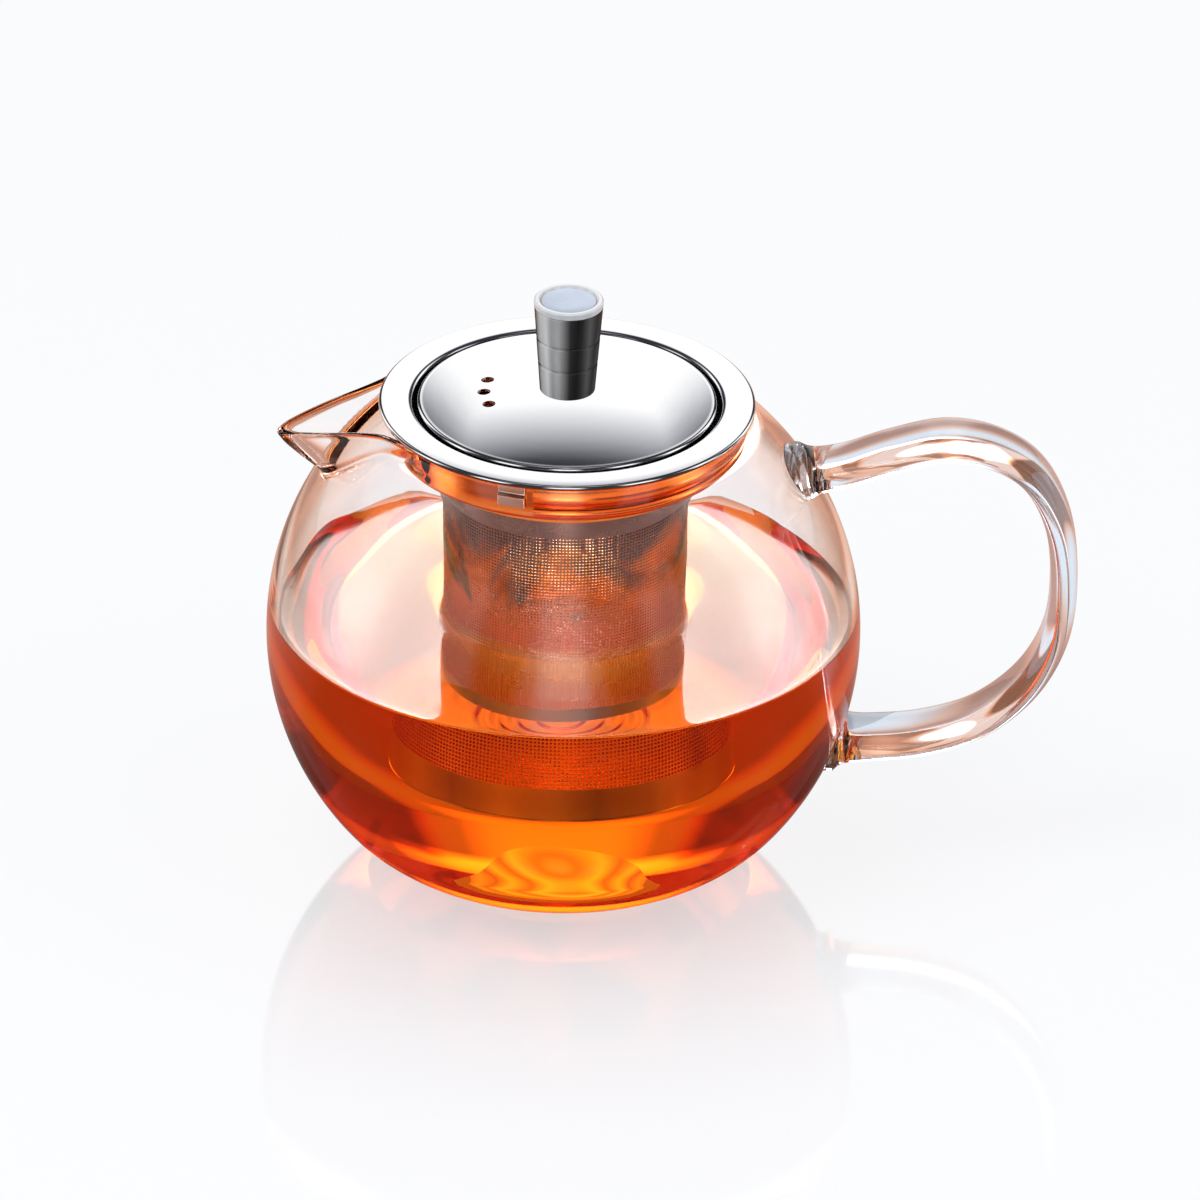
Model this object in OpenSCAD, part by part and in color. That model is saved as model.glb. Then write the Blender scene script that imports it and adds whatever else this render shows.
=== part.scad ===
// Glass teapot with a lift-out steel infuser and a lift-off lid.
// Origin: centre of the foot on the table, +Z up, handle on +X, spout on -X.

/* [Globe] */
// Outer radius of the blown globe
globe_r = 68; // [64:0.5:76]
// Thickness of the blown wall
glass_wall = 2; // [1.6:0.1:2.6]
// Height of the globe's middle above the table
globe_z = 57; // [55:0.5:60]
// Radius of the soft edge between the globe and its foot
foot_edge_r = 40; // [36:1:44]
// Thickness of the glass in the bottom
bottom_wall = 3.5; // [2.5:0.25:5]

/* [Neck] */
// Inner radius of the neck
neck_r = 37.8; // [37.4:0.2:39]
// Thickness of the fire-polished lip
lip_t = 3.3; // [2.8:0.1:4]
// How far the lip's top stays under the middle of the waist's curve
lip_tuck = 2.44; // [1.6:0.02:3]
// Radius of the waist between the globe and the neck
waist_r = 12; // [9:0.5:14]

/* [Spout] */
// How far the tip stands out from the pot's axis
spout_reach = 66; // [64:0.5:70]
// Drop from the neck's lip to the spout's tip
spout_drop = 7.2; // [5:0.2:9]
// Half width of the channel at the neck
spout_half_w = 24; // [21:0.5:26]
// Thickness of the spout's wall
spout_wall = 2; // [1.6:0.1:2.4]

/* [Handle] */
// How far the middle of the grip stands out from the globe
handle_reach = 46.2; // [42:0.2:54]
// Height of the handle's crown above the globe's middle
handle_rise = 49.8; // [46:0.5:54]
// Depth of the lower root below the globe's middle
handle_drop = 27; // [24:0.5:32]
// Width of the flattened glass rod
handle_w = 17; // [14:0.5:20]
// Thickness of the rod at the grip
handle_t = 6.3; // [5.5:0.1:8]
// Thickness of the rod at the roots
handle_root_t = 9; // [8:0.1:11]
// Width of the rounded end at the upper root
handle_root_w = 11; // [9.5:0.5:13]

/* [Infuser] */
// Thickness of the pressed steel sheet
sheet = 0.6; // [0.5:0.05:0.8]
// How far the flange stands out over the lip
flange_over = 1.9; // [1.4:0.1:4]
// Radius of the flange's rolled edge
roll_r = 0.7; // [0.6:0.05:0.9]
// Depth of the collar under the flange
collar_depth = 12.2; // [11:0.2:14]
// Length of the collar's throat over the basket
throat_h = 4; // [3:0.5:6]

/* [Basket] */
// Width of the ledge between the collar and the basket
ledge_w = 7.3; // [5.5:0.1:9]
// Thickness of the perforated sheet
mesh_sheet = 0.4; // [0.3:0.05:0.5]
// Depth from the flange to the bottom of the basket
basket_depth = 85; // [78:0.5:88]
// Height of the solid band round the bottom
basket_band_h = 6.7; // [5:0.1:9]

/* [Spring band] */
// Thickness of the spring strip
band_t = 0.4; // [0.3:0.05:0.4]
// Height of the spring strip
band_h = 8.4; // [7:0.2:9]
// Part of the circle that the strip leaves open, in degrees
band_gap = 47; // [40:1:70]
// Angle at which the open part starts, counted from +X
band_gap_start = 212; // [200:2:230]
// Width of the clasp that stops the strip from turning
clasp_w = 6.2; // [5:0.2:8]
// Height of the clasp
clasp_h = 8; // [6:0.2:8.4]

/* [Lid] */
// Rise of the dome from its edge to its crown
dome_rise = 3; // [2.6:0.1:6]
// Depth of the lid's turned-down edge
lid_edge_h = 2.4; // [2:0.1:3]
// Radius of the circle of steam holes
steam_circle_r = 19; // [16:0.5:24]
// Diameter of a steam hole
steam_d = 3; // [2:0.1:4]
// Angle between two steam holes
steam_pitch = 18.5; // [15:0.5:24]
// Angle of the middle steam hole, counted from +X
steam_angle = 182; // [150:2:190]

/* [Knob] */
// Radius of the knob at the lid
knob_base_r = 6.3; // [6:0.1:8]
// Radius of the knob at its top
knob_top_r = 8; // [7.4:0.1:10]
// Height of the knob
knob_h = 22.8; // [18:0.2:28]
// Height of the lower groove
groove_low_z = 7; // [5:0.2:8]
// Height of the upper groove
groove_high_z = 13.2; // [11:0.2:14]
// Height and depth of a groove
groove = 0.4; // [0.3:0.1:0.8]
// Height of the bright ring round the knob's top
cap_h = 1.6; // [1.2:0.1:2.4]
// Radius of the screw that holds the knob
screw_r = 2; // [1.5:0.25:2.5]
// Length of the screw inside the knob
screw_len = 9; // [6:0.5:12]
// Radius of the screw's head
screw_head_r = 3.8; // [3.2:0.1:4.5]
// Thickness of the lock washer
washer_t = 0.8; // [0.6:0.1:1.2]

/* [Fits] */
// Gap between the glass and the infuser that rests on it
seat_gap = 0.3; // [0.2:0.05:0.5]
// Gap between the collar and the neck, which the spring strip fills
collar_play = 2; // [1.9:0.1:2.6]
// Gap between the lid and the collar
lid_play = 0.9; // [0.5:0.1:1.2]
// Gap between the spring strip and the neck
band_play = 0.3; // [0.2:0.05:0.6]
// Gap between welded sheets
weld_gap = 0.05; // [0.02:0.01:0.1]

/* [Hidden] */
$fn = 96;
eps = 0.01;
through = 200;

// Radii that follow the neck
collar_outer_r = neck_r - collar_play;
collar_r = collar_outer_r - sheet;
basket_r = collar_r - ledge_w;
lid_r = collar_r - lid_play;
flange_r = neck_r + lip_t + flange_over;

// Heights that everything hangs from
waist_x = neck_r + lip_t + waist_r;
waist_y = sqrt(pow(globe_r + waist_r, 2) - pow(waist_x, 2));
neck_rise = waist_y - lip_tuck;
lip_z = globe_z + neck_rise;
flange_low_z = lip_z + seat_gap;
flange_z = flange_low_z + sheet;
ledge_z = flange_z - collar_depth;
basket_low_z = flange_z - basket_depth;
sleeve_r = basket_r - mesh_sheet;
throat_r = basket_r + weld_gap;
throat_low_z = ledge_z - sheet - throat_h;
dome_edge_z = flange_z + 0.1;
dome_z = dome_edge_z + dome_rise;
knob_z = dome_z;
knob_split_h = groove / 4;
cap_step = 1.6;

// ---------- helpers ----------

// Points of an arc from angle a to angle b
function arc(x, y, r, a, b, steps) =
    [for (i = [0:steps]) [x + r * cos(a + (b - a) * i / steps), y + r * sin(a + (b - a) * i / steps)]];

// Value on a Catmull-Rom curve between p1 and p2
function smooth(p0, p1, p2, p3, t) =
    0.5 * ((2 * p1) + (p2 - p0) * t + (2 * p0 - 5 * p1 + 4 * p2 - p3) * t * t
        + (3 * p1 - p0 - 3 * p2 + p3) * t * t * t);

// Closed skin through rings of equally many points
module skin(rings) {
    sides = len(rings[0]);
    last = len(rings) - 1;
    points = [for (ring = rings) each ring];
    walls = [for (i = [0:last - 1], j = [0:sides - 1])
        let (k = (j + 1) % sides)
        each [[i * sides + j, (i + 1) * sides + j, (i + 1) * sides + k],
              [i * sides + j, (i + 1) * sides + k, i * sides + k]]];
    start = [for (j = [0:sides - 1]) j];
    end = [for (j = [sides - 1:-1:0]) last * sides + j];
    polyhedron(points, concat(walls, [start, end]), convexity = 6);
}

// ---------- glass ----------

// Half outline of a globe of radius r that stands on a foot with a soft edge, up to the angle top_a
function globe_outline(r, edge_r, low, top_a) =
    let (foot_r = sqrt(pow(r - edge_r, 2) - pow(low - edge_r, 2)),
         join_a = -atan((low - edge_r) / foot_r))
    concat(
        [[0, -low]],
        arc(foot_r, edge_r - low, edge_r, -90, join_a, 14),
        arc(0, 0, r, join_a + 2, top_a, 40));

lip_r = lip_t / 2;
inner_r = globe_r - glass_wall;
inner_low = globe_z - bottom_wall;
inner_edge_r = foot_edge_r - glass_wall;
corner_r = 1.6;
corner_x = neck_r + corner_r;
corner_y = sqrt(pow(inner_r + corner_r, 2) - pow(corner_x, 2));

module globe_outside() {
    waist_a = atan(waist_y / waist_x);
    lip_y = neck_rise - lip_r;
    waist_end_a = 180 + asin((waist_y - lip_y) / waist_r);
    outline = concat(
        globe_outline(globe_r, foot_edge_r, globe_z, waist_a - 1),
        arc(waist_x, waist_y, waist_r, 180 + waist_a, waist_end_a, 10),
        arc(neck_r + lip_r, lip_y, lip_r, 15, 180, 12),
        [[0, lip_y]]);
    translate([0, 0, globe_z]) rotate_extrude() polygon(outline);
}

module globe_inside() {
    corner_a = atan(corner_y / corner_x);
    outline = concat(
        globe_outline(inner_r, inner_edge_r, inner_low, corner_a - 1),
        arc(corner_x, corner_y, corner_r, 180 + corner_a, 180, 6),
        [[neck_r, neck_rise + lip_t], [0, neck_rise + lip_t]]);
    translate([0, 0, globe_z]) rotate_extrude() polygon(outline);
}

// Shape of the spout, whose root starts inside the neck and whose rim leaves the lip a little under its top
spout_root_x = neck_r - 4.8;
rim_dip = 0.8;
spout_shape = [
    // share of the reach from root to tip, share of the half width, keel height as a share of the neck's rise
    [0.00, 1.00, 0.418],
    [0.12, 0.86, 0.470],
    [0.27, 0.64, 0.531],
    [0.45, 0.49, 0.592],
    [0.60, 0.40, 0.653],
    [0.75, 0.30, 0.721],
    [0.88, 0.20, 0.780],
    [0.96, 0.12, 0.822],
    [1.00, 0.05, 0.850],
];
function spout_x(i, inset) = -(spout_root_x + spout_shape[i][0] * (spout_reach - inset - spout_root_x));
function spout_rim_z(x) =
    lip_z - rim_dip - (spout_drop - rim_dip) * pow(max(0, (-x - neck_r) / (spout_reach - neck_r)), 1.3);

// One U-shaped cross section of the spout, open upwards at the rim or raised over it
function spout_ring(i, inset, raise) =
    let (x = spout_x(i, inset),
         half_w = spout_half_w * spout_shape[i][1] - inset,
         rim = spout_rim_z(x) + raise,
         keel = globe_z + spout_shape[i][2] * neck_rise + inset * 1.2,
         depth = spout_rim_z(x) - keel)
    concat(
        [[x, max(half_w, 0.3), rim]],
        [for (a = [0:12:180]) [x, max(half_w, 0.3) * cos(a), spout_rim_z(x) - max(depth, 0.4) * sin(a)]],
        [[x, -max(half_w, 0.3), rim]]);

module spout_outside() {
    skin([for (i = [0:len(spout_shape) - 1]) spout_ring(i, 0, 0.05)]);
}

module spout_inside() {
    skin([for (i = [0:len(spout_shape) - 1]) spout_ring(i, spout_wall, 8)]);
}

module glass_body() {
    color([0.93, 0.95, 0.96, 0.35])
    difference() {
        union() {
            globe_outside();
            spout_outside();
        }
        globe_inside();
        spout_inside();
    }
}

// Handle centre line: share of the reach beyond the globe, share of the rise (over 0) or of the drop (under 0)
handle_shape = [
    [-0.50, 0.76], [-0.30, 0.82], [-0.08, 0.865], [0.14, 0.94], [0.40, 1.00], [0.64, 0.965],
    [0.84, 0.84], [0.965, 0.60], [1.00, 0.30], [0.965, 0.02], [0.83, -0.42], [0.60, -0.77],
    [0.32, -0.945], [0.05, -1.00], [-0.15, -1.00], [-0.36, -1.00],
];
handle_steps = 4;
handle_sides = 20;
function handle_point(i) =
    let (p = handle_shape[min(max(i, 0), len(handle_shape) - 1)])
    [globe_r + p[0] * handle_reach, globe_z + p[1] * (p[1] > 0 ? handle_rise : handle_drop)];
handle_line = [
    for (i = [0:len(handle_shape) - 2], s = [0:handle_steps - 1])
        smooth(handle_point(i - 1), handle_point(i), handle_point(i + 1), handle_point(i + 2), s / handle_steps),
    handle_point(len(handle_shape) - 1)
];
handle_last = len(handle_line) - 1;

// Thickness and width of the rod at a share of its length, 0 at the upper root and 1 at the lower
function rod_t(s) = handle_t + (handle_root_t - handle_t) * pow(abs(2 * s - 1), 1.6);
function rod_w(s) = handle_w - (handle_w - handle_root_w) * pow(max(0, 1 - s / 0.24), 2);

function handle_ring(i) =
    let (s = i / handle_last,
         before = handle_line[max(i - 1, 0)],
         after = handle_line[min(i + 1, handle_last)],
         run = after - before,
         side = [-run[1], run[0]] / norm(run),
         p = handle_line[i])
    [for (j = [0:handle_sides - 1])
        let (a = 360 * j / handle_sides,
             across = sign(cos(a)) * pow(abs(cos(a)), 0.85) * rod_t(s) / 2,
             along_y = sign(sin(a)) * pow(abs(sin(a)), 0.85) * rod_w(s) / 2)
        [p[0] + side[0] * across, along_y, p[1] + side[1] * across]];

module handle() {
    color([0.93, 0.95, 0.96, 0.35])
    difference() {
        skin([for (i = [0:handle_last]) handle_ring(i)]);
        translate([0, 0, globe_z]) sphere(globe_r);
    }
}

// ---------- infuser ----------

module infuser_collar() {
    bend = 1.2;
    outer = collar_outer_r;
    roll_x = flange_r - roll_r;
    color([0.80, 0.81, 0.83])
    rotate_extrude()
    union() {
        translate([roll_x, flange_z - roll_r]) circle(roll_r);
        translate([outer - eps, flange_low_z]) square([roll_x - outer + eps, sheet]);
        translate([collar_r, ledge_z - sheet]) square([sheet, flange_z - ledge_z + sheet]);
        translate([throat_r, ledge_z - sheet]) square([collar_r - throat_r + eps, sheet]);
        translate([throat_r, throat_low_z]) square([sheet, ledge_z - throat_low_z]);
        translate([collar_outer_r, ledge_z - sheet])
            polygon([[0, 0], [0, bend], [-bend / 2, bend / 2]]);
    }
}

module basket_sleeve() {
    low = basket_low_z + mesh_sheet;
    color([0.62, 0.60, 0.60])
    translate([0, 0, low])
    difference() {
        cylinder(h = ledge_z - sheet - low - eps, r = basket_r);
        translate([0, 0, -1]) cylinder(h = through, r = sleeve_r);
    }
}

// Pressed cup that closes the basket, with its wall inside the sleeve
module basket_bottom() {
    wall_r = sleeve_r - weld_gap;
    color([0.70, 0.66, 0.62])
    translate([0, 0, basket_low_z])
    difference() {
        union() {
            cylinder(h = mesh_sheet - weld_gap, r = basket_r);
            cylinder(h = basket_band_h, r = wall_r);
        }
        translate([0, 0, mesh_sheet - weld_gap]) cylinder(h = basket_band_h, r = wall_r - mesh_sheet);
    }
}

band_low_z = ledge_z + 0.7;
band_r = collar_outer_r + weld_gap;
bead_out = neck_r - band_play - band_r - band_t;

// Strip section with a narrow and a broad bead that press outwards against the neck
module band_section() {
    broad = band_h * 0.62;
    narrow = band_h - broad;
    crest = concat(
        [for (i = [0:8]) [bead_out * 0.7 * sin(180 * i / 8), narrow * i / 8]],
        [for (i = [1:12]) [bead_out * sin(180 * i / 12), narrow + broad * i / 12]]);
    last = len(crest) - 1;
    points = concat(crest, [for (i = [last:-1:0]) [crest[i][0] + band_t, crest[i][1]]]);
    translate([band_r, band_low_z]) polygon(points);
}

module spring_band() {
    color([0.78, 0.62, 0.45])
    rotate([0, 0, band_gap_start + band_gap])
    rotate_extrude(angle = 360 - band_gap)
    band_section();
}

// Small joggled plate on the collar, in the strip's open part
module band_clasp() {
    angle = band_gap_start + band_gap - 8;
    plate = 0.5;
    joggle = 0.7;
    bend_z = clasp_h * 0.38;
    side = [
        [0, clasp_h], [0, bend_z], [joggle, bend_z - joggle], [joggle, 0],
        [joggle + plate, 0], [joggle + plate, bend_z - joggle / 2], [plate, bend_z + joggle / 2], [plate, clasp_h],
    ];
    color([0.85, 0.84, 0.83])
    rotate([0, 0, angle])
    translate([band_r, clasp_w / 2, flange_low_z - 0.4 - clasp_h])
    rotate([90, 0, 0])
    linear_extrude(clasp_w)
    polygon(side);
}

// ---------- lid ----------

dome_r = (pow(lid_r, 2) + pow(dome_rise, 2)) / (2 * dome_rise);
dome_a = asin(lid_r / dome_r);
lid_inner_r = lid_r - sheet;
skirt_r = lid_inner_r - weld_gap;
skirt_low_z = ledge_z + seat_gap;

// Half section of the dome and its turned-down edge, as one sheet
module lid_section() {
    centre = dome_z - dome_r;
    outer = arc(0, centre, dome_r, 90, 90 - dome_a, 24);
    inner_a = asin(lid_inner_r / (dome_r - sheet));
    inner = arc(0, centre, dome_r - sheet, 90 - inner_a, 90, 24);
    edge_z = dome_edge_z - lid_edge_h;
    polygon(concat(outer, [[lid_r, edge_z], [lid_inner_r, edge_z]], inner));
}

module lid_dome() {
    color([0.86, 0.87, 0.89])
    difference() {
        rotate_extrude() lid_section();
        translate([0, 0, dome_z - 5]) cylinder(h = 10, r = screw_r + 0.2);
        for (k = [-1:1])
            rotate([0, 0, steam_angle + k * steam_pitch])
            translate([steam_circle_r, 0, dome_edge_z - 2])
            cylinder(h = dome_rise + 4, d = steam_d);
    }
}

// Ring under the dome that guides the lid in the collar and stands on the collar's ledge
module lid_skirt() {
    top = dome_edge_z - 1.2;
    color([0.74, 0.75, 0.77])
    translate([0, 0, skirt_low_z])
    difference() {
        cylinder(h = top - skirt_low_z, r = skirt_r);
        translate([0, 0, -1]) cylinder(h = through, r = skirt_r - sheet);
    }
}

// ---------- knob ----------

cap_top_z = knob_z + knob_h;
cap_low_z = cap_top_z - cap_h;
core_r = 4;
screw_top_z = knob_z + screw_len;
function knob_r(h) = knob_base_r + (knob_top_r - knob_base_r) * h / knob_h;

// One tapered sleeve of the knob's grip, from height low to height high over the lid
module knob_sleeve(low, high) {
    translate([0, 0, knob_z + low])
    difference() {
        cylinder(h = high - low, r1 = knob_r(low), r2 = knob_r(high));
        translate([0, 0, -1]) cylinder(h = through, r = core_r + weld_gap);
    }
}

// Turned core with a groove wherever two sleeves meet
module knob_core() {
    color([0.10, 0.10, 0.11])
    difference() {
        union() {
            translate([0, 0, knob_z]) cylinder(h = knob_h - cap_h, r = core_r);
            translate([0, 0, knob_z + groove_low_z])
                cylinder(h = groove, r = knob_r(groove_low_z) - groove);
            translate([0, 0, knob_z + groove_high_z])
                cylinder(h = groove, r = knob_r(groove_high_z) - groove);
        }
        translate([0, 0, knob_z - 1]) cylinder(h = screw_len + 1, r = screw_r + weld_gap);
    }
}

module knob_foot_ring() {
    color([0.16, 0.16, 0.17]) knob_sleeve(0, groove_low_z - knob_split_h);
}

module knob_middle_ring() {
    color([0.16, 0.16, 0.17]) knob_sleeve(groove_low_z + groove + knob_split_h, groove_high_z - knob_split_h);
}

module knob_top_ring() {
    color([0.16, 0.16, 0.17]) knob_sleeve(groove_high_z + groove + knob_split_h, knob_h - cap_h - knob_split_h);
}

module knob_cap_ring() {
    low_r = knob_r(knob_h - cap_h);
    color([0.86, 0.87, 0.89])
    translate([0, 0, cap_low_z])
    difference() {
        cylinder(h = cap_h, r1 = low_r, r2 = knob_top_r);
        translate([0, 0, cap_h / 2]) cylinder(h = cap_h, r = knob_top_r - cap_step);
    }
}

module knob_cap_disc() {
    color([0.80, 0.82, 0.85])
    translate([0, 0, cap_low_z + cap_h / 2 + weld_gap / 2])
    cylinder(h = cap_h / 2 - 0.35, r = knob_top_r - cap_step - weld_gap);
}

washer_top_z = dome_z - sheet - 0.12;

module knob_screw() {
    head_h = 2.2;
    head_top = washer_top_z - washer_t - weld_gap;
    slot_w = 1;
    color([0.70, 0.71, 0.73])
    difference() {
        union() {
            translate([0, 0, head_top - eps]) cylinder(h = screw_top_z - head_top - 0.5, r = screw_r);
            translate([0, 0, head_top - head_h]) cylinder(h = head_h, r = screw_head_r);
        }
        translate([-through / 2, -slot_w / 2, head_top - head_h - 1]) cube([through, slot_w, 1 + head_h / 2]);
        translate([-slot_w / 2, -through / 2, head_top - head_h - 1]) cube([slot_w, through, 1 + head_h / 2]);
    }
}

module knob_washer() {
    color([0.55, 0.56, 0.58])
    translate([0, 0, washer_top_z - washer_t])
    difference() {
        cylinder(h = washer_t, r = screw_head_r + 1);
        translate([0, 0, -1]) cylinder(h = washer_t + 2, r = screw_r + weld_gap);
    }
}

glass_body();
handle();
infuser_collar();
basket_sleeve();
basket_bottom();
spring_band();
band_clasp();
lid_dome();
lid_skirt();
knob_core();
knob_foot_ring();
knob_middle_ring();
knob_top_ring();
knob_cap_ring();
knob_cap_disc();
knob_screw();
knob_washer();
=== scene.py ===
"""Looks of the glass teapot: blown glass, tea, steel infuser and lid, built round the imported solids."""
import math

import bmesh
import bpy
import numpy as np
from bpy.props import FloatProperty, FloatVectorProperty, PointerProperty
from bpy.types import Operator, Panel, PropertyGroup
from mathutils import Matrix, Vector


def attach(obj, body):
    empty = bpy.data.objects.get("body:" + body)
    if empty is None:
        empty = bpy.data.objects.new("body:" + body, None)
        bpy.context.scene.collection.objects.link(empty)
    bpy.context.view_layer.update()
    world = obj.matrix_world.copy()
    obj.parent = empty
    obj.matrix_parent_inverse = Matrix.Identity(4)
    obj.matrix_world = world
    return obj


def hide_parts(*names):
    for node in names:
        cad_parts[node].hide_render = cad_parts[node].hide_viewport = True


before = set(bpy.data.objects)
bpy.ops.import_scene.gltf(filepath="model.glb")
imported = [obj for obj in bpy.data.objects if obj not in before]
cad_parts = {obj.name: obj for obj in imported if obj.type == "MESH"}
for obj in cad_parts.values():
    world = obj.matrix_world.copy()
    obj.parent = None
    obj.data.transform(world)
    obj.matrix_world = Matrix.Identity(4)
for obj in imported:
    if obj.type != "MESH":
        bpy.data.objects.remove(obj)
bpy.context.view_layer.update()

bl_info = {
    "name": "Glass Teapot",
    "version": (1, 0, 0),
    "blender": (4, 5, 0),
    "location": "View3D > Sidebar > Teapot",
    "description": "Dresses the teapot's solids in glass, tea and steel and sets them on a pale stage",
    "category": "Object",
}

MM = 0.001

# Fits between the pieces, in millimetres
SEAT_GAP = 0.3
LID_PLAY = 0.1
COLLAR_DEPTH = 12.2
BASKET_DEPTH = 85.0


# ---------- settings ----------

def amount(name, text, default, **more):
    return FloatProperty(name=name, description=text, default=default, min=0.0, **more)


def size(name, text, default):
    return amount(name, text, default, unit="LENGTH", precision=5)


def share(name, text, default):
    return amount(name, text, default, max=1.0, subtype="FACTOR")


def tint(name, text, default):
    return FloatVectorProperty(
        name=name, description=text, default=default, size=3, min=0.0, max=1.0, subtype="COLOR")


class TeapotGlassSettings(PropertyGroup):
    globe_radius: size("Globe radius", "Outer radius of the blown globe", 0.068)
    globe_height: size("Globe height", "Height of the globe's middle over the table", 0.057)
    wall: size("Wall", "Thickness of the blown wall", 0.002)
    bottom_wall: size("Bottom", "Thickness of the glass in the bottom", 0.0035)
    foot_edge: size("Foot edge", "Radius of the soft edge between globe and foot", 0.040)
    neck_radius: size("Neck radius", "Inner radius of the neck", 0.0378)
    lip: size("Lip", "Thickness of the fire-polished lip", 0.0033)
    lip_rise: size("Lip rise", "Height of the lip over the globe's middle", 0.0574)
    waist: size("Waist", "Radius of the waist between globe and neck", 0.012)
    spout_reach: size("Spout reach", "How far the tip stands out from the pot's axis", 0.066)
    spout_drop: size("Spout drop", "Drop from the lip to the spout's tip", 0.0072)
    spout_half_width: size("Spout half width", "Half width of the channel at the neck", 0.024)
    ripple: size("Ripple", "Height of the slow waves on the inside of the blown wall", 0.00011)
    handle_reach: size("Handle reach", "How far the grip stands out from the globe", 0.0462)
    handle_rise: size("Handle rise", "Height of the crown over the globe's middle", 0.0498)
    handle_drop: size("Handle drop", "Depth of the lower root under the globe's middle", 0.027)
    handle_width: size("Handle width", "Width of the flattened rod", 0.017)
    handle_thickness: size("Handle thickness", "Thickness of the rod at the grip", 0.0063)
    handle_root: size("Handle root", "Thickness of the rod at its roots", 0.009)
    handle_root_width: size("Upper root width", "Width of the rounded end at the upper root", 0.011)
    colour: tint("Glass tint", "Faint tint of the clear glass", (0.985, 0.992, 0.995))
    # The handle's cool blue tint is painted cool shade, which also takes out the warm colour that the handle
    # shows of the tent
    handle_painted_shade: tint("Handle tint", "Cooler tint of the handle's thick glass", (0.80, 0.90, 1.0))


class TeapotTeaSettings(PropertyGroup):
    level: size("Tea level", "Height of the tea's surface over the table", 0.062)
    climb: size("Climb", "How far the tea climbs at the glass", 0.0015)
    strength: amount("Strength", "Absorption of the tea for one metre", 72.0)
    colour: tint("Tea colour", "Light that the tea lets through", (0.956, 0.667, 0.02))


class TeapotSteelSettings(PropertyGroup):
    sheet: size("Sheet", "Thickness of the pressed sheet", 0.0006)
    flange_radius: size("Flange radius", "Outer radius of the flange on the neck", 0.043)
    collar_radius: size("Collar radius", "Inner radius of the collar that takes the lid", 0.0352)
    basket_radius: size("Basket radius", "Outer radius of the perforated basket", 0.0279)
    mesh_pitch: size("Mesh pitch", "Distance between two rows of holes", 0.00077)
    lid_radius: size("Lid radius", "Outer radius of the lid", 0.0343)
    dome_rise: size("Dome rise", "Rise of the dome over its edge", 0.003)
    steam_circle: size("Steam circle", "Radius of the circle of steam holes", 0.019)
    steam_hole: size("Steam hole", "Diameter of a steam hole", 0.003)
    polished: tint("Polished steel", "Colour of the polished sheet", (0.97, 0.972, 0.98))
    plain: tint("Plain steel", "Colour of unpolished sheet", (0.62, 0.61, 0.61))
    # The basket's orange is a painted reflection of the tea; the darker colour over it is painted shade
    perforated: tint("Perforated steel", "Colour of the basket's sheet", (0.97, 0.25, 0.08))
    shaded: tint("Shaded steel", "Colour of the basket's sheet over the tea's stain", (0.20, 0.12, 0.11))
    # The warm steel's orange is a painted reflection of the tea, not a tint of the sheet
    warm: tint("Warm steel", "Colour of the sheet that the tea tints", (1.0, 0.26, 0.05))
    knob: tint("Knob", "Colour of the black nickel grip", (0.88, 0.88, 0.885))


class TeapotStageSettings(PropertyGroup):
    background: tint("Background", "Colour of the floor and backdrop", (0.973, 0.982, 1.0))
    back_light: amount("Back light", "Brightness of the soft light behind the pot", 8.0)
    middle_light: amount("Middle light", "Extra light that the tea gathers from behind", 2.3)
    foot_glow: amount("Foot glow", "Light that the pot gathers under its foot", 1.3)
    gloss: share("Floor gloss", "How much the floor mirrors beside the foot", 0.26)


# ---------- making meshes ----------

def from_rings(rings, first=None, last=None, closed=True):
    """Points and faces of a skin through rings of equally many points, with a point at either end."""
    rings = [np.asarray(r, float) for r in rings]
    n = len(rings[0])
    points = np.concatenate(rings)
    faces = []
    steps = range(n if closed else n - 1)
    for i in range(len(rings) - 1):
        a, b = i * n, (i + 1) * n
        faces += [(a + j, a + (j + 1) % n, b + (j + 1) % n, b + j) for j in steps]
    points = [tuple(p) for p in points]
    if first is not None:
        points.append(tuple(first))
        k = len(points) - 1
        faces += [(k, (j + 1) % n, j) for j in steps]
    if last is not None:
        points.append(tuple(last))
        k = len(points) - 1
        base = (len(rings) - 1) * n
        faces += [(k, base + j, base + (j + 1) % n) for j in steps]
    return points, faces


def lathe(profile, columns=192, loop=False):
    """Points and faces of a profile of (radius, height) turned round the axis, closed on itself if loop."""
    turn = [2 * math.pi * j / columns for j in range(columns)]
    profile = list(profile) + ([profile[0]] if loop else [])
    rings, first, last = [], None, None
    for k, (r, z) in enumerate(profile):
        if r < 1e-7 and k == 0:
            first = (0, 0, z)
        elif r < 1e-7:
            last = (0, 0, z)
        else:
            rings.append([(r * math.cos(a), r * math.sin(a), z) for a in turn])
    return from_rings(rings, first, last)


def soften(corners, loop=True, steps=5):
    """Profile through corners of (radius, height, rounding)."""
    out, n = [], len(corners)
    for i, (x, z, r) in enumerate(corners):
        p = Vector((x, z))
        if r <= 0 or (not loop and i in (0, n - 1)):
            out.append((x, z))
            continue
        a, b = Vector(corners[i - 1][:2]) - p, Vector(corners[(i + 1) % n][:2]) - p
        half = a.angle(b) / 2
        reach = min(r / math.tan(half), a.length * 0.49, b.length * 0.49)
        start, end = p + a.normalized() * reach, p + b.normalized() * reach
        for k in range(steps + 1):
            t = k / steps
            q = start * (1 - t) ** 2 + p * 2 * t * (1 - t) + end * t * t
            out.append((q.x, q.y))
    return out


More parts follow.
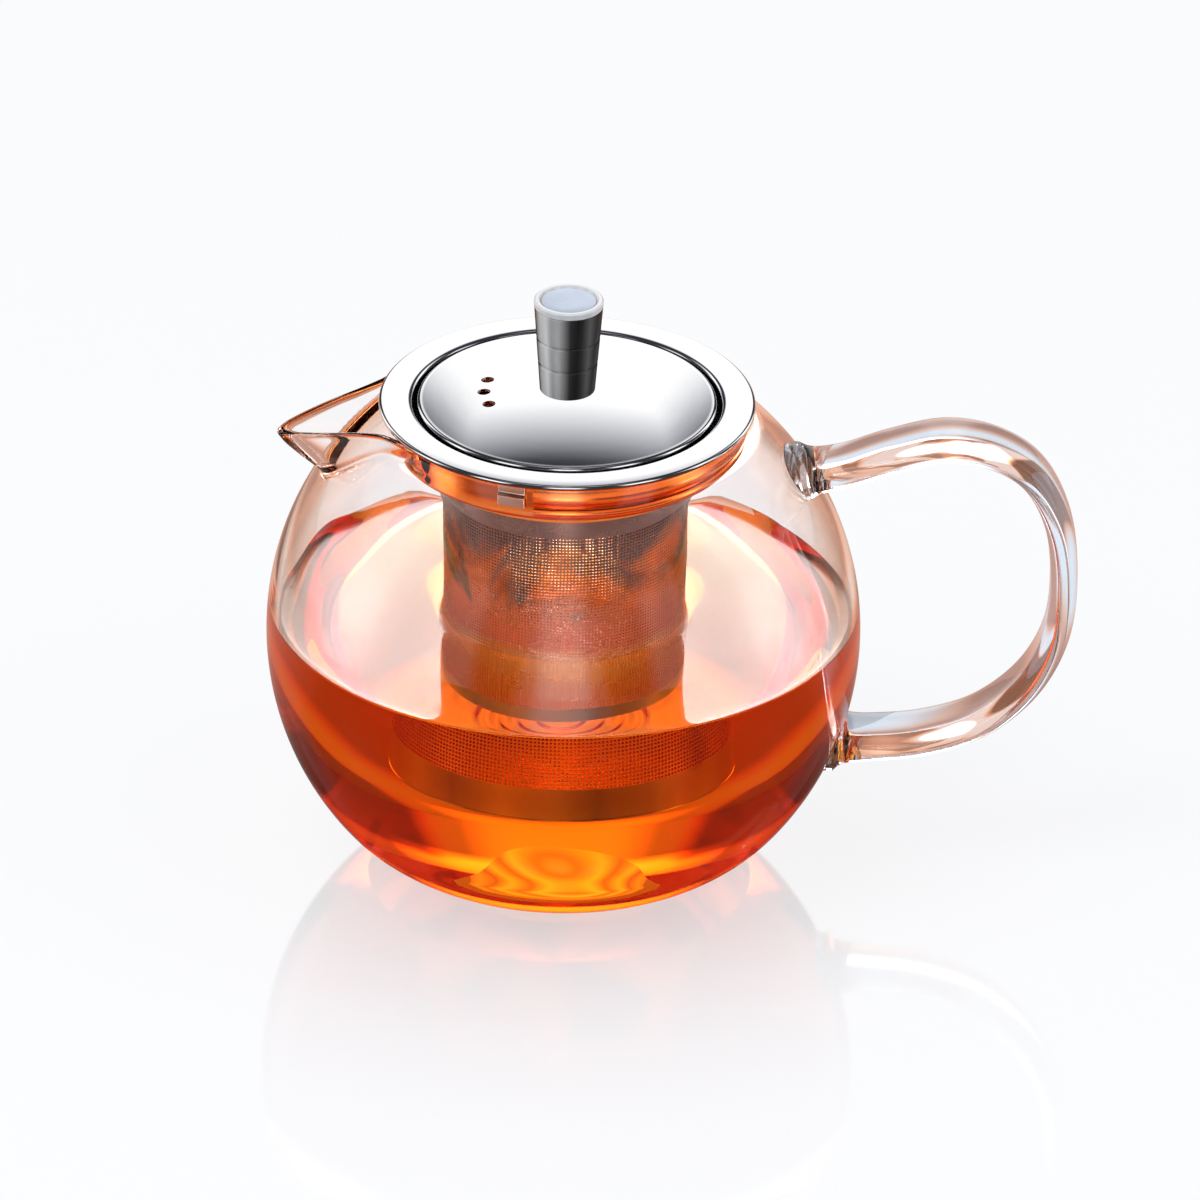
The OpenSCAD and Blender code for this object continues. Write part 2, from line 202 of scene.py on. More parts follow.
def piece(name, shape, finish, body, stands_for=(), sharp=35.0, scale=MM):
    """A named piece of the pot: its mesh, finish, body and the solids it stands for."""
    points, faces = shape
    mesh = bpy.data.meshes.new(name)
    mesh.from_pydata([(x * scale, y * scale, z * scale) for x, y, z in points], [], faces)
    tidy = bmesh.new()
    tidy.from_mesh(mesh)
    bmesh.ops.remove_doubles(tidy, verts=tidy.verts, dist=1e-7)
    bmesh.ops.recalc_face_normals(tidy, faces=tidy.faces)
    tidy.to_mesh(mesh)
    tidy.free()
    mesh.shade_smooth()
    mesh.set_sharp_from_angle(angle=math.radians(sharp))
    mesh.materials.append(finish)
    made = bpy.data.objects.new(name, mesh)
    bpy.context.scene.collection.objects.link(made)
    if body:
        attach(made, body)
        if stands_for:
            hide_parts(*stands_for)
    return made


def keep_solid(node, finish):
    """A solid from model.glb that shows as it was imported, in its own finish."""
    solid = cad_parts[node]
    solid.data.materials.clear()
    solid.data.materials.append(finish)


def outward(face):
    """A face's distance from the pot's axis, under 0 where it looks towards the axis."""
    return face.center.x * face.normal.x + face.center.y * face.normal.y


def lip_top(context):
    """Height of the pot's lip over the table, in millimetres."""
    pot = context.scene.teapot_glass
    return (pot.globe_height + pot.lip_rise) / MM


def flange_top(context):
    """Height of the flange's upper face over the table, in millimetres."""
    return lip_top(context) + SEAT_GAP + context.scene.teapot_steel.sheet / MM


# ---------- finishes ----------

class Net:
    """Short forms for wiring up a node tree."""

    def __init__(self, tree):
        self.tree = tree

    def link(self, source, socket):
        self.tree.links.new(source, socket)

    def feed(self, value, socket):
        """Wire a socket to another, or set it."""
        if isinstance(value, bpy.types.NodeSocket):
            self.link(value, socket)
        elif isinstance(value, tuple) and socket.type == "RGBA":
            socket.default_value = (*value, 1)
        else:
            socket.default_value = value

    def add(self, kind, *inputs):
        """A shader node of this kind, its first inputs fed."""
        node = self.tree.nodes.new("ShaderNode" + kind)
        for value, socket in zip(inputs, node.inputs):
            self.feed(value, socket)
        return node

    def math(self, kind, *inputs):
        node = self.add("Math")
        node.operation = kind
        for value, socket in zip(inputs, node.inputs):
            self.feed(value, socket)
        return node.outputs[0]

    def rest(self, value):
        """What a value lacks to 1."""
        return self.math("SUBTRACT", 1.0, value)

    def most(self, first, *others):
        """The largest of some values."""
        for other in others:
            first = self.math("MAXIMUM", first, other)
        return first

    def product(self, first, *others):
        for other in others:
            first = self.math("MULTIPLY", first, other)
        return first

    def noise(self, place, scale, detail, distortion=0.0, roughness=0.5):
        """Cloudy values between 0 and 1."""
        node = self.add("TexNoise", place)
        values = {"Scale": scale, "Detail": detail, "Distortion": distortion, "Roughness": roughness}
        for name, value in values.items():
            self.feed(value, node.inputs[name])
        return node.outputs["Fac"]

    def bump(self, height, strength, distance, under=None):
        """Normals of a surface with this height, over the normals of another bump."""
        node = self.add("Bump")
        node.inputs["Strength"].default_value = strength
        node.inputs["Distance"].default_value = distance
        self.link(height, node.inputs["Height"])
        if under is not None:
            self.link(under, node.inputs["Normal"])
        return node.outputs[0]

    def group(self, tree, **values):
        """A shader group with its named inputs fed."""
        node = self.add("Group")
        node.node_tree = tree
        for name, value in values.items():
            self.feed(value, node.inputs[name])
        return node.outputs

    def length(self, vector):
        node = self.add("VectorMath", vector)
        node.operation = "LENGTH"
        return node.outputs["Value"]

    def mix(self, share, a, b, blend="MIX"):
        """Mix of two colours."""
        node = self.add("Mix")
        node.data_type, node.blend_type = "RGBA", blend
        self.feed(share, node.inputs[0])
        self.feed(a, node.inputs[6])
        self.feed(b, node.inputs[7])
        return node.outputs[2]

    def times(self, colour, other):
        """Product of two colours."""
        return self.mix(1.0, colour, other, "MULTIPLY")

    def colours(self, share, stops):
        """Colour ramp through stops of (share, colour)."""
        node = self.add("ValToRGB", share)
        ramp = node.color_ramp
        ramp.elements[0].position, ramp.elements[1].position = stops[0][0], stops[-1][0]
        for at, _ in stops[1:-1]:
            ramp.elements.new(at)
        for stop, (_, colour) in zip(ramp.elements, stops):
            stop.color = (*colour, 1)
        return node.outputs["Color"]

    def ramp(self, value, stops, low=0.0, high=1.0):
        """Grey ramp of a value between low and high."""
        span = self.math("MULTIPLY_ADD", value, 1 / (high - low), -low / (high - low))
        return self.colours(span, [(at, (v, v, v)) for at, v in stops])

    def place(self):
        """Place of the shaded point on its object."""
        return self.add("TexCoord").outputs["Object"]

    def parts(self, vector):
        """X, Y and Z of a vector."""
        return self.add("SeparateXYZ", vector).outputs

    def mirrored(self, path):
        """1 for rays that a surface has mirrored, 0 for those that passed through one."""
        only = self.math("SUBTRACT", path.outputs["Is Glossy Ray"], path.outputs["Is Transmission Ray"])
        return self.math("MAXIMUM", only, 0.0)

    def flags(self, part, start, full, count):
        """1 on the upright flags that stand evenly round the circle, 0 between them."""
        angle = self.math("ARCTAN2", part["Y"], part["X"])
        wave = self.math("COSINE", self.math("MULTIPLY_ADD", angle, float(count), math.pi))
        node = self.add("MapRange", wave, start, full)
        node.interpolation_type = "SMOOTHSTEP"
        return node.outputs[0]

    def behind_tea(self, part, beyond):
        """Darkness of the four wide flags, and the share of the gap behind the pot, where beyond is 1."""
        dark = self.product(self.flags(part, *SIDE_FLAGS), beyond)
        gap = self.product(self.rest(self.flags(part, *MIDDLE_FLAGS)), beyond)
        return dark, gap


def new_group(name, inputs, outputs):
    """An empty shader group with named sockets."""
    group = bpy.data.node_groups.new(name, "ShaderNodeTree")
    for label, kind, value in inputs:
        socket = group.interface.new_socket(label, in_out="INPUT", socket_type="NodeSocket" + kind)
        socket.default_value = value
    for label, kind in outputs:
        group.interface.new_socket(label, in_out="OUTPUT", socket_type="NodeSocket" + kind)
    return group, group.nodes.new("NodeGroupInput").outputs, group.nodes.new("NodeGroupOutput").inputs


def handling_marks():
    """Group: faint rubbing marks and unevenness of a surface, in colour, roughness and height."""
    if "Handling marks" in bpy.data.node_groups:
        return bpy.data.node_groups["Handling marks"]
    group, given, out = new_group(
        "Handling marks",
        [("Size", "Float", 60.0), ("Smoothest", "Float", 0.05), ("Roughest", "Float", 0.12),
         ("Light", "Color", (1, 1, 1, 1)), ("Dark", "Color", (0.9, 0.9, 0.9, 1))],
        [("Colour", "Color"), ("Roughness", "Float"), ("Height", "Float")])
    net = Net(group)
    place = net.place()
    cloud = net.noise(place, given["Size"], 4.0, roughness=0.6)
    spread = net.add("MapRange", cloud, 0.35, 0.65, given["Smoothest"], given["Roughest"])
    net.link(net.mix(cloud, given["Light"], given["Dark"]), out["Colour"])
    net.link(spread.outputs[0], out["Roughness"])
    net.link(net.noise(place, net.math("MULTIPLY", given["Size"], 14.0), 2.0), out["Height"])
    return group


def turned_lines():
    """Group: fine rings left by spinning and turning, round the pot's axis."""
    if "Turned lines" in bpy.data.node_groups:
        return bpy.data.node_groups["Turned lines"]
    group, given, out = new_group("Turned lines", [("Lines", "Float", 900.0)], [("Height", "Float")])
    net = Net(group)
    part = net.parts(net.place())
    flat = net.add("CombineXYZ", part["X"], part["Y"])
    stack = net.add("CombineXYZ", net.length(flat.outputs[0]), 0.0, part["Z"])
    net.link(net.noise(stack.outputs[0], given["Lines"], 3.0), out["Height"])
    return group


def plain_material(name):
    """A material, the net of its nodes, its Principled shader and its output."""
    material = bpy.data.materials.new(name)
    material.use_nodes = True
    nodes = material.node_tree.nodes
    return material, Net(material.node_tree), nodes["Principled BSDF"], nodes["Material Output"]


def bare_material(name):
    """A material with only its output, for shaders of its own."""
    material, net, shader, out = plain_material(name)
    net.tree.nodes.remove(shader)
    return material, net, out


def metal(name, colour, smoothest, roughest, size=60.0, dark=0.9, marks=0.02, lines=0.0, rings=900.0):
    """Polished, plain or coated metal, with handling marks and turned lines."""
    if name in bpy.data.materials:
        return bpy.data.materials[name]
    material, net, shader, _ = plain_material(name)
    shader.inputs["Metallic"].default_value = 1.0
    shade = tuple(c * dark for c in colour)
    worn = net.group(
        handling_marks(), Size=size, Smoothest=smoothest, Roughest=roughest, Light=tuple(colour), Dark=shade)
    net.link(worn["Colour"], shader.inputs["Base Color"])
    net.link(worn["Roughness"], shader.inputs["Roughness"])
    normal = net.bump(worn["Height"], marks, SCRATCH)
    if lines:
        turned = net.group(turned_lines(), Lines=rings)
        normal = net.bump(turned["Height"], lines, SCRATCH, normal)
    net.link(normal, shader.inputs["Normal"])
    return material


def shader_inputs(material):
    """The sockets of a finish's own shader."""
    return material.node_tree.nodes["Principled BSDF"].inputs


def base_colour(material):
    """The net of a finish, what gives its base colour, and the socket that it feeds."""
    socket = shader_inputs(material)["Base Color"]
    return Net(material.node_tree), socket.links[0].from_socket, socket


def painted_tea_reflection_metal(name, painted_reflection, plain, smoothest, roughest, low, high):
    """Steel with a painted orange reflection of the tea up to a ragged line between two heights, a golden
    one where it dips under the tea, and the colour given as plain, a painted shade, above the line.
    """
    material = metal(name, painted_reflection, smoothest, roughest, 90.0, 0.7, 0.02)
    net, colour, socket = base_colour(material)
    place = net.place()
    ragged = net.noise(place, 38.0, 3.0, 1.5)
    high_up = net.parts(place)["Z"]
    rise = net.math("MULTIPLY_ADD", high_up, 1 / (high - low), -low / (high - low))
    line = net.math("MULTIPLY_ADD", ragged, 3.0, net.math("SUBTRACT", rise, 1.5))
    # Painted reflection of the tea, golden under its surface; above the ragged line the plain colour,
    # painted shade, takes over
    reflection = net.mix(net.ramp(high_up, DIPPED, 0.0, 0.1), DIPPED_REFLECTION, colour)
    net.link(net.mix(net.ramp(line, ((0.3, 0.0), (0.7, 1.0))), reflection, tuple(plain)), socket)
    return material


GLASS_IOR = 1.47
TEA_IOR = 1.333
# Depth of rubbing marks and turned lines, in metres
SCRATCH = 0.0002
# Stops of (share of 100 mm over the table, 1 where the sheet stands clear of the tea)
DIPPED = ((0.62, 0.0), (0.66, 1.0))
# Lighter golden painted reflection of the tea on the sheet under the tea's surface
DIPPED_REFLECTION = (1.0, 0.56, 0.22)
# Stops of (share of edge on, colour) of the painted warm reflection of the tea in the pot's glass
EDGE_REFLECTION = (
    (0.40, (1, 1, 1)), (0.62, (1.0, 0.84, 0.74)), (0.80, (1.0, 0.58, 0.40)), (1.0, (1.0, 0.32, 0.12)),
)
# Stops of (share of half the way round, brightness) of the painted upright reflection bands on turned metal
KNOB_REFLECTIONS = (
    (0.08, 0.02), (0.18, 0.85), (0.27, 1.00), (0.33, 0.60), (0.41, 0.65), (0.45, 0.42), (0.48, 0.22),
    (0.52, 0.05), (0.60, 0.02), (0.64, 0.04), (0.68, 0.11), (0.72, 0.17), (0.76, 0.12), (0.82, 0.04),
    (0.88, 0.02), (0.96, 0.01),
)
CUP_REFLECTIONS = (
    (0.05, 1.0), (0.16, 1.0), (0.25, 0.55), (0.37, 0.95), (0.46, 0.75), (0.58, 0.40), (0.70, 0.65),
    (0.78, 1.0), (0.92, 0.9),
)


def painted_reflection_bands(material, painted_bands):
    """Paint soft upright reflection bands into a turned metal's colour, by the angle round its axis."""
    net, worn, socket = base_colour(material)
    part = net.parts(net.place())
    turn = net.math("ARCTAN2", part["Y"], part["X"])
    half_turn = net.math("FRACT", net.math("MULTIPLY_ADD", turn, 1 / math.pi, 1.0))
    net.link(net.times(worn, net.ramp(half_turn, painted_bands)), socket)
    return material


def painted_edge_reflection(material):
    """Paint the tea's warm reflection into the glass's colour where it is seen edge on."""
    net = Net(material.node_tree)
    edge = net.add("LayerWeight", 0.5).outputs["Facing"]
    net.link(net.colours(edge, EDGE_REFLECTION), shader_inputs(material)["Base Color"])
    return material


def clear_glass(name, ior=GLASS_IOR, colour=None):
    """Clear blown glass with a faint, slow unevenness."""
    if name in bpy.data.materials:
        return bpy.data.materials[name]
    look = bpy.context.scene.teapot_glass
    material, net, shader, _ = plain_material(name)
    shader.inputs["Base Color"].default_value = (*(colour or look.colour), 1)
    shader.inputs["Roughness"].default_value = 0.0
    shader.inputs["IOR"].default_value = ior
    shader.inputs["Transmission Weight"].default_value = 1.0
    uneven = net.group(handling_marks(), Size=24.0)["Colour"]
    net.link(net.bump(uneven, 0.05, 0.0004), shader.inputs["Normal"])
    return material


def amber_tea():
    """Clear amber tea that darkens with depth and bends light only at its free surface."""
    if "amber_tea" in bpy.data.materials:
        return bpy.data.materials["amber_tea"]
    look = bpy.context.scene.teapot_tea
    material, net, shader, out = plain_material("amber_tea")
    shader.inputs["Base Color"].default_value = (1, 1, 1, 1)
    shader.inputs["Roughness"].default_value = 0.0
    shader.inputs["Transmission Weight"].default_value = 1.0
    deep = net.add("VolumeAbsorption", tuple(look.colour), look.strength)
    net.link(deep.outputs[0], out.inputs["Volume"])
    place = net.place()
    net.link(net.bump(net.noise(place, 34.0, 2.0, 1.2), 0.06, 0.0006), shader.inputs["Normal"])
    slope = net.parts(net.add("NewGeometry").outputs["True Normal"])["Z"]
    level = net.math("GREATER_THAN", net.math("ABSOLUTE", slope), 0.1)
    high = net.math("GREATER_THAN", net.parts(place)["Z"], look.level - 0.001)
    net.link(net.math("MULTIPLY_ADD", net.product(level, high), TEA_IOR - 1.0, 1.0), shader.inputs["IOR"])
    return material


# ---------- glass ----------

def smooth_step(x):
    return x * x * (3 - 2 * x)


def fade_in(delta, start, span):
    """0 up to an angle from the spout's middle, 1 from a span beyond it, both in degrees."""
    return np.clip((delta - math.radians(start)) / math.radians(span), 0, 1)


def foot_ripple(share):
    """How far the underside is drawn up at a share of the foot's radius: rings left by the mould."""
    inside = min(max((0.93 - share) / 0.12, 0), 1)
    return smooth_step(inside) * (0.35 + 0.42 * (1 - math.cos(2 * math.pi * share * 5.2)) / 2)


def globe_arc(r, edge, low, top, rippled=False):
    """Profile from the foot's middle to a little over the globe's middle, from which heights count."""
    foot = math.sqrt((r - edge) ** 2 - (low - edge) ** 2)
    join = -math.atan((low - edge) / foot)
    if rippled:
        flat = [(foot * s, foot_ripple(s) - low) for s in np.linspace(0, 1, 70)]
    else:
        flat = [(foot * s, -low) for s in np.linspace(0, 1, 7)]
    knuckle = [(foot + edge * math.cos(a), edge - low + edge * math.sin(a))
               for a in np.linspace(-math.pi / 2, join, 17)[1:]]
    side = [(r * math.cos(a), r * math.sin(a)) for a in np.linspace(join, math.asin(top / r), 26)[1:]]
    return flat + knuckle + side


def arc(r, z):
    """Half width of a circle of radius r at a height z from its middle."""
    return np.sqrt(np.maximum(r ** 2 - z ** 2, 0))


def smooth_most(a, b, k):
    """The larger of a and b, with a soft fillet where they are within k of each other."""
    h = np.maximum(k - np.abs(a - b), 0) / k
    return np.maximum(a, b) + h ** 3 * k / 6


# Radius within which the waves of the bottom's inside die out (mm), and rows of points up the wall
WAVE_FADE = 30
WALL_ROWS = 66
# How far round from its middle the spout is looked for, and the fillet between it and the globe (mm)
SPOUT_SIDE = math.radians(60)
SPOUT_FILLET = 3.0
SPOUT_WALL = 2.0
# Spout stations: share of the reach, share of the half width, keel height over the globe's middle (mm)
SPOUT = [
    (0.00, 1.00, 24.0), (0.12, 0.86, 27.0), (0.27, 0.64, 30.5), (0.45, 0.49, 34.0), (0.60, 0.40, 37.5),
    (0.75, 0.30, 41.4), (0.88, 0.20, 44.8), (0.96, 0.12, 47.2), (1.00, 0.05, 48.8),
]
# Distance from the axis where the first station stands (mm)
SPOUT_ROOT = 33.0
# The spout's rim: its dip at the neck, where it starts to fall to the tip (mm), and how its fall bends
RIM_DIP, RIM_START, RIM_BEND = 0.8, 38, 1.3
# The channel's smallest half width and depth (mm), and how much more its floor is inset than its sides
TIP_WIDTH, TIP_DEPTH, KEEL_RISE = 0.25, 0.4, 1.2
# Height of the rounded edge at the lip and at the spout (mm)
LIP_ROUND, SPOUT_ROUND = 1.4, 1.0


class PotShape:
    """Outer and inner radius of the pot at any height and angle, in millimetres from the globe's middle."""

    def __init__(self, look):
        self.r, self.low = look.globe_radius / MM, look.globe_height / MM
        self.wall, self.bottom = look.wall / MM, look.bottom_wall / MM
        self.edge, self.ripple = look.foot_edge / MM, look.ripple / MM
        self.neck, self.waist = look.neck_radius / MM, look.waist / MM
        self.lip, self.rise = look.lip / MM, look.lip_rise / MM
        self.reach, self.drop = look.spout_reach / MM, look.spout_drop / MM
        self.half = look.spout_half_width / MM
        self.waist_x = self.neck + self.lip + self.waist
        self.waist_y = math.sqrt((self.r + self.waist) ** 2 - self.waist_x ** 2)
        self.lip_z = self.rise - LIP_ROUND
        share_x, share_w, keel = np.array(SPOUT).T
        fine = np.linspace(0, 1, 600)
        self.fine_w, self.fine_keel = self.spline(share_x, share_w, fine), self.spline(share_x, keel, fine)
        self.fine = fine

    @staticmethod
    def spline(x, y, at):
        """Smooth curve through the stations."""
        slope = np.gradient(y, x)
        k = np.clip(np.searchsorted(x, at) - 1, 0, len(x) - 2)
        h = x[k + 1] - x[k]
        t = (at - x[k]) / h
        return ((2 * t ** 3 - 3 * t ** 2 + 1) * y[k] + (t ** 3 - 2 * t ** 2 + t) * h * slope[k]
                + (-2 * t ** 3 + 3 * t ** 2) * y[k + 1] + (t ** 3 - t ** 2) * h * slope[k + 1])

    def rim(self, x):
        """Height of the spout's rim where it is x from the axis."""
        out = np.maximum(0, (x - RIM_START) / (self.reach - RIM_START))
        return self.rise - RIM_DIP - (self.drop - RIM_DIP) * out ** RIM_BEND

    def spout(self, delta, z, inset):
        """How far the spout reaches at height z and at an angle delta from its middle, both arrays."""
        x = SPOUT_ROOT + self.fine * (self.reach - inset - SPOUT_ROOT)
        w = np.maximum(self.half * self.fine_w - inset, TIP_WIDTH)
        keel = self.fine_keel + inset * KEEL_RISE
        rim = self.rim(x)
        deep = np.maximum(rim - keel, TIP_DEPTH)
        up = np.clip((rim[None, :] - z[:, None]) / deep[None, :], 0, 1)
        half = np.where(z[:, None] < keel[None, :], -1.0, w[None, :] * np.sqrt(1 - up ** 2))
        inside = half - x[None, :] * np.tan(delta)[:, None]
        hit = inside >= 0
        last = len(x) - 1 - np.argmax(hit[:, ::-1], axis=1)
        found = hit.any(axis=1)
        nxt = np.minimum(last + 1, len(x) - 1)
        here, there = inside[np.arange(len(z)), last], inside[np.arange(len(z)), nxt]
        part = np.where((there < 0) & (here >= 0), here / np.maximum(here - there, 1e-9), 0)
        reach = x[last] + part * (x[nxt] - x[last])
        return np.where(found, reach / np.cos(delta), 0)

    def with_spout(self, body, delta, z, inset):
        """The body's radius with the spout drawn out of it."""
        drawn = smooth_most(body, self.spout(np.minimum(delta, 1.2), z, inset), SPOUT_FILLET)
        return np.where(delta < SPOUT_SIDE, drawn, body)

    def outer(self, delta, z):
        """Outer radius at height z and angle delta from the spout's middle."""
        bend = self.waist_x - arc(self.waist, z - self.waist_y)
        joint = self.waist_y * self.r / (self.r + self.waist)
        body = np.where(z < joint, arc(self.r, z), bend)
        return self.with_spout(body, delta, z, 0.0)

    def inner(self, delta, z):
        """Inner radius at height z and angle delta from the spout's middle."""
        r = self.r - self.wall
        corner = 1.6
        cx = self.neck + corner
        cy = math.sqrt((r + corner) ** 2 - cx ** 2)
        bend = cx - arc(corner, z - cy)
        body = np.where(z < cy * r / (r + corner), arc(r, z), np.where(z < cy, bend, self.neck))
        return self.with_spout(body, delta, z, SPOUT_WALL)

    def waves(self, turn, z):
        """Slow unevenness of the inside of the wall."""
        fade = np.clip((self.rise - 8 - z) / 10, 0, 1)
        return self.ripple * fade * (
            np.sin(3 * turn + 1.3 + z / 23) * np.sin(z / 9 + 0.5)
            + 0.6 * np.sin(5 * turn - 0.7 + z / 6.5)
            + 0.35 * np.sin(11 * turn + z / 4.1))

    def top(self, delta):
        """Height where the rounded edge begins, at an angle from the spout's middle."""
        x = SPOUT_ROOT + self.fine * (self.reach - SPOUT_ROOT)
        angle = np.arctan2(self.half * self.fine_w, x)[::-1]
        edge = np.interp(delta, angle, (self.rim(x) - SPOUT_ROUND)[::-1])
        blend = smooth_step(fade_in(delta, 27, 8))
        return edge * (1 - blend) + self.lip_z * blend


def pot_columns():
    """Angles of the columns from the spout's middle, closer together at the spout."""
    near = [0, 0.45, 0.9, 1.4, 1.9, 2.5, 3.1, 3.8, 4.6, 5.5]
    fine, fine_end, coarse = 1.05, 38, 84
    while near[-1] < fine_end:
        near.append(near[-1] + fine)
    rest = [near[-1] + (180 - near[-1]) * k / coarse for k in range(1, coarse)]
    half = near + rest
    angles = half + [180] + [360 - a for a in half[:0:-1]]
    return np.radians(np.array(angles))


def glass_pot_shape(shape, waterline):
    """The blown pot with its pulled spout, as one closed skin, with a row of points at the waterline."""
    turn = pot_columns() + math.pi
    delta = np.abs(turn % (2 * math.pi) - math.pi)
    cos, sin = np.cos(turn), np.sin(turn)

    def ring(radius, z):
        return np.stack([radius * cos, radius * sin, np.broadcast_to(z, cos.shape) + shape.low], 1)

    ones = np.ones_like(turn)
    rise = waterline - shape.low
    outside = globe_arc(shape.r, shape.edge, shape.low, rise, rippled=True)
    inside = globe_arc(shape.r - shape.wall, shape.edge - shape.wall, shape.low - shape.bottom, rise)
    top = shape.top(delta)
    rings = [ring(r * ones, z) for r, z in outside[1:]]
    start = outside[-1][1]
    for s in np.linspace(0, 1, WALL_ROWS)[1:]:
        z = start + (top - start) * s
        rings.append(ring(shape.outer(delta, z), z))
    out_top, in_top = shape.outer(delta, top), shape.inner(delta, top)
    height = SPOUT_ROUND + (LIP_ROUND - SPOUT_ROUND) * fade_in(delta, 24, 12)
    for a in np.linspace(0, math.pi, 12)[1:-1]:
        mid, half = (out_top + in_top) / 2, (out_top - in_top) / 2
        rings.append(ring(mid + half * math.cos(a), top + height * math.sin(a)))
    start = inside[-1][1]
    for s in np.linspace(1, 0, WALL_ROWS):
        z = start + (top - start) * s
        rings.append(ring(shape.inner(delta, z) + shape.waves(turn, z), z))
    for r, z in inside[:0:-1]:
        rings.append(ring(r * ones + shape.waves(turn, z) * min(1, r / WAVE_FADE), z))
    return from_rings(rings, (0, 0, foot_ripple(0)), (0, 0, shape.bottom))


def tea_shape(shape, level, climb):
    """The tea: it fills the pot up to the wall and climbs a little at the glass and at the basket."""
    gap, full, basket = 0.06, 66, 27.7
    turn = np.linspace(0, 2 * math.pi, 240, endpoint=False)
    cos, sin = np.cos(turn), np.sin(turn)
    wall, rise = shape.wall, level + climb - shape.low
    inside = globe_arc(shape.r - wall, shape.edge - wall, shape.low - shape.bottom, rise)
    rings = []
    for r, z in inside[1:]:
        radius = r + shape.waves(turn, z) * min(1, r / WAVE_FADE) - gap * min(1, r / WAVE_FADE)
        up = z + shape.low + gap * (1 - min(1, r / full))
        rings.append(np.stack([radius * cos, radius * sin, np.full_like(cos, up)], 1))
    edge = radius
    radii = [full - s for s in (0.25, 0.5, 0.8, 1.1, 1.5, 2, 2.7, 3.6, 5, 7, 10, 14, 19, 24, 29, 32, 34)]
    radii += [basket + s for s in (2.4, 1.6, 1.0, 0.6, 0.3, 0.1, -0.1, -0.3, -0.6, -1.0, -1.6, -2.4)]
    radii += [22, 18, 14, 10, 6, 3]
    for r in radii:
        at = r * (edge / full if r > 40 else 1)
        rise = climb * np.exp(-(edge - at) / 1.1) + 0.7 * math.exp(-abs(r - basket) / 0.8)
        swell = 0.05 * np.sin(r / 7 + 2 * turn) + 0.03 * np.sin(r / 4 - 3 * turn + 1)
        rings.append(np.stack([at * cos, at * sin, level + rise + swell * min(1, (full - r) / 3)], 1))
    return from_rings(rings, (0, 0, shape.bottom + gap), (0, 0, level))


# How deep the handle's roots are melted into the globe, and how far they flare out and over what height (mm)
ROOT_DEPTH = 0.35
FLARE, FLARE_HEIGHT = 2.2, 1.5
# How square the rod's section is: 1 for an ellipse, less for flatter sides
ROD_SQUARE = 0.85
# Middle line of the handle: shares of the reach beyond the globe and of the rise (over 0) or drop (under 0)
HANDLE = [
    (-0.50, 0.76), (-0.30, 0.82), (-0.08, 0.865), (0.14, 0.94), (0.40, 1.00), (0.64, 0.965), (0.84, 0.84),
    (0.965, 0.60), (1.00, 0.30), (0.965, 0.02), (0.83, -0.42), (0.60, -0.77), (0.32, -0.945), (0.05, -1.00),
    (-0.15, -1.00), (-0.36, -1.00),
]


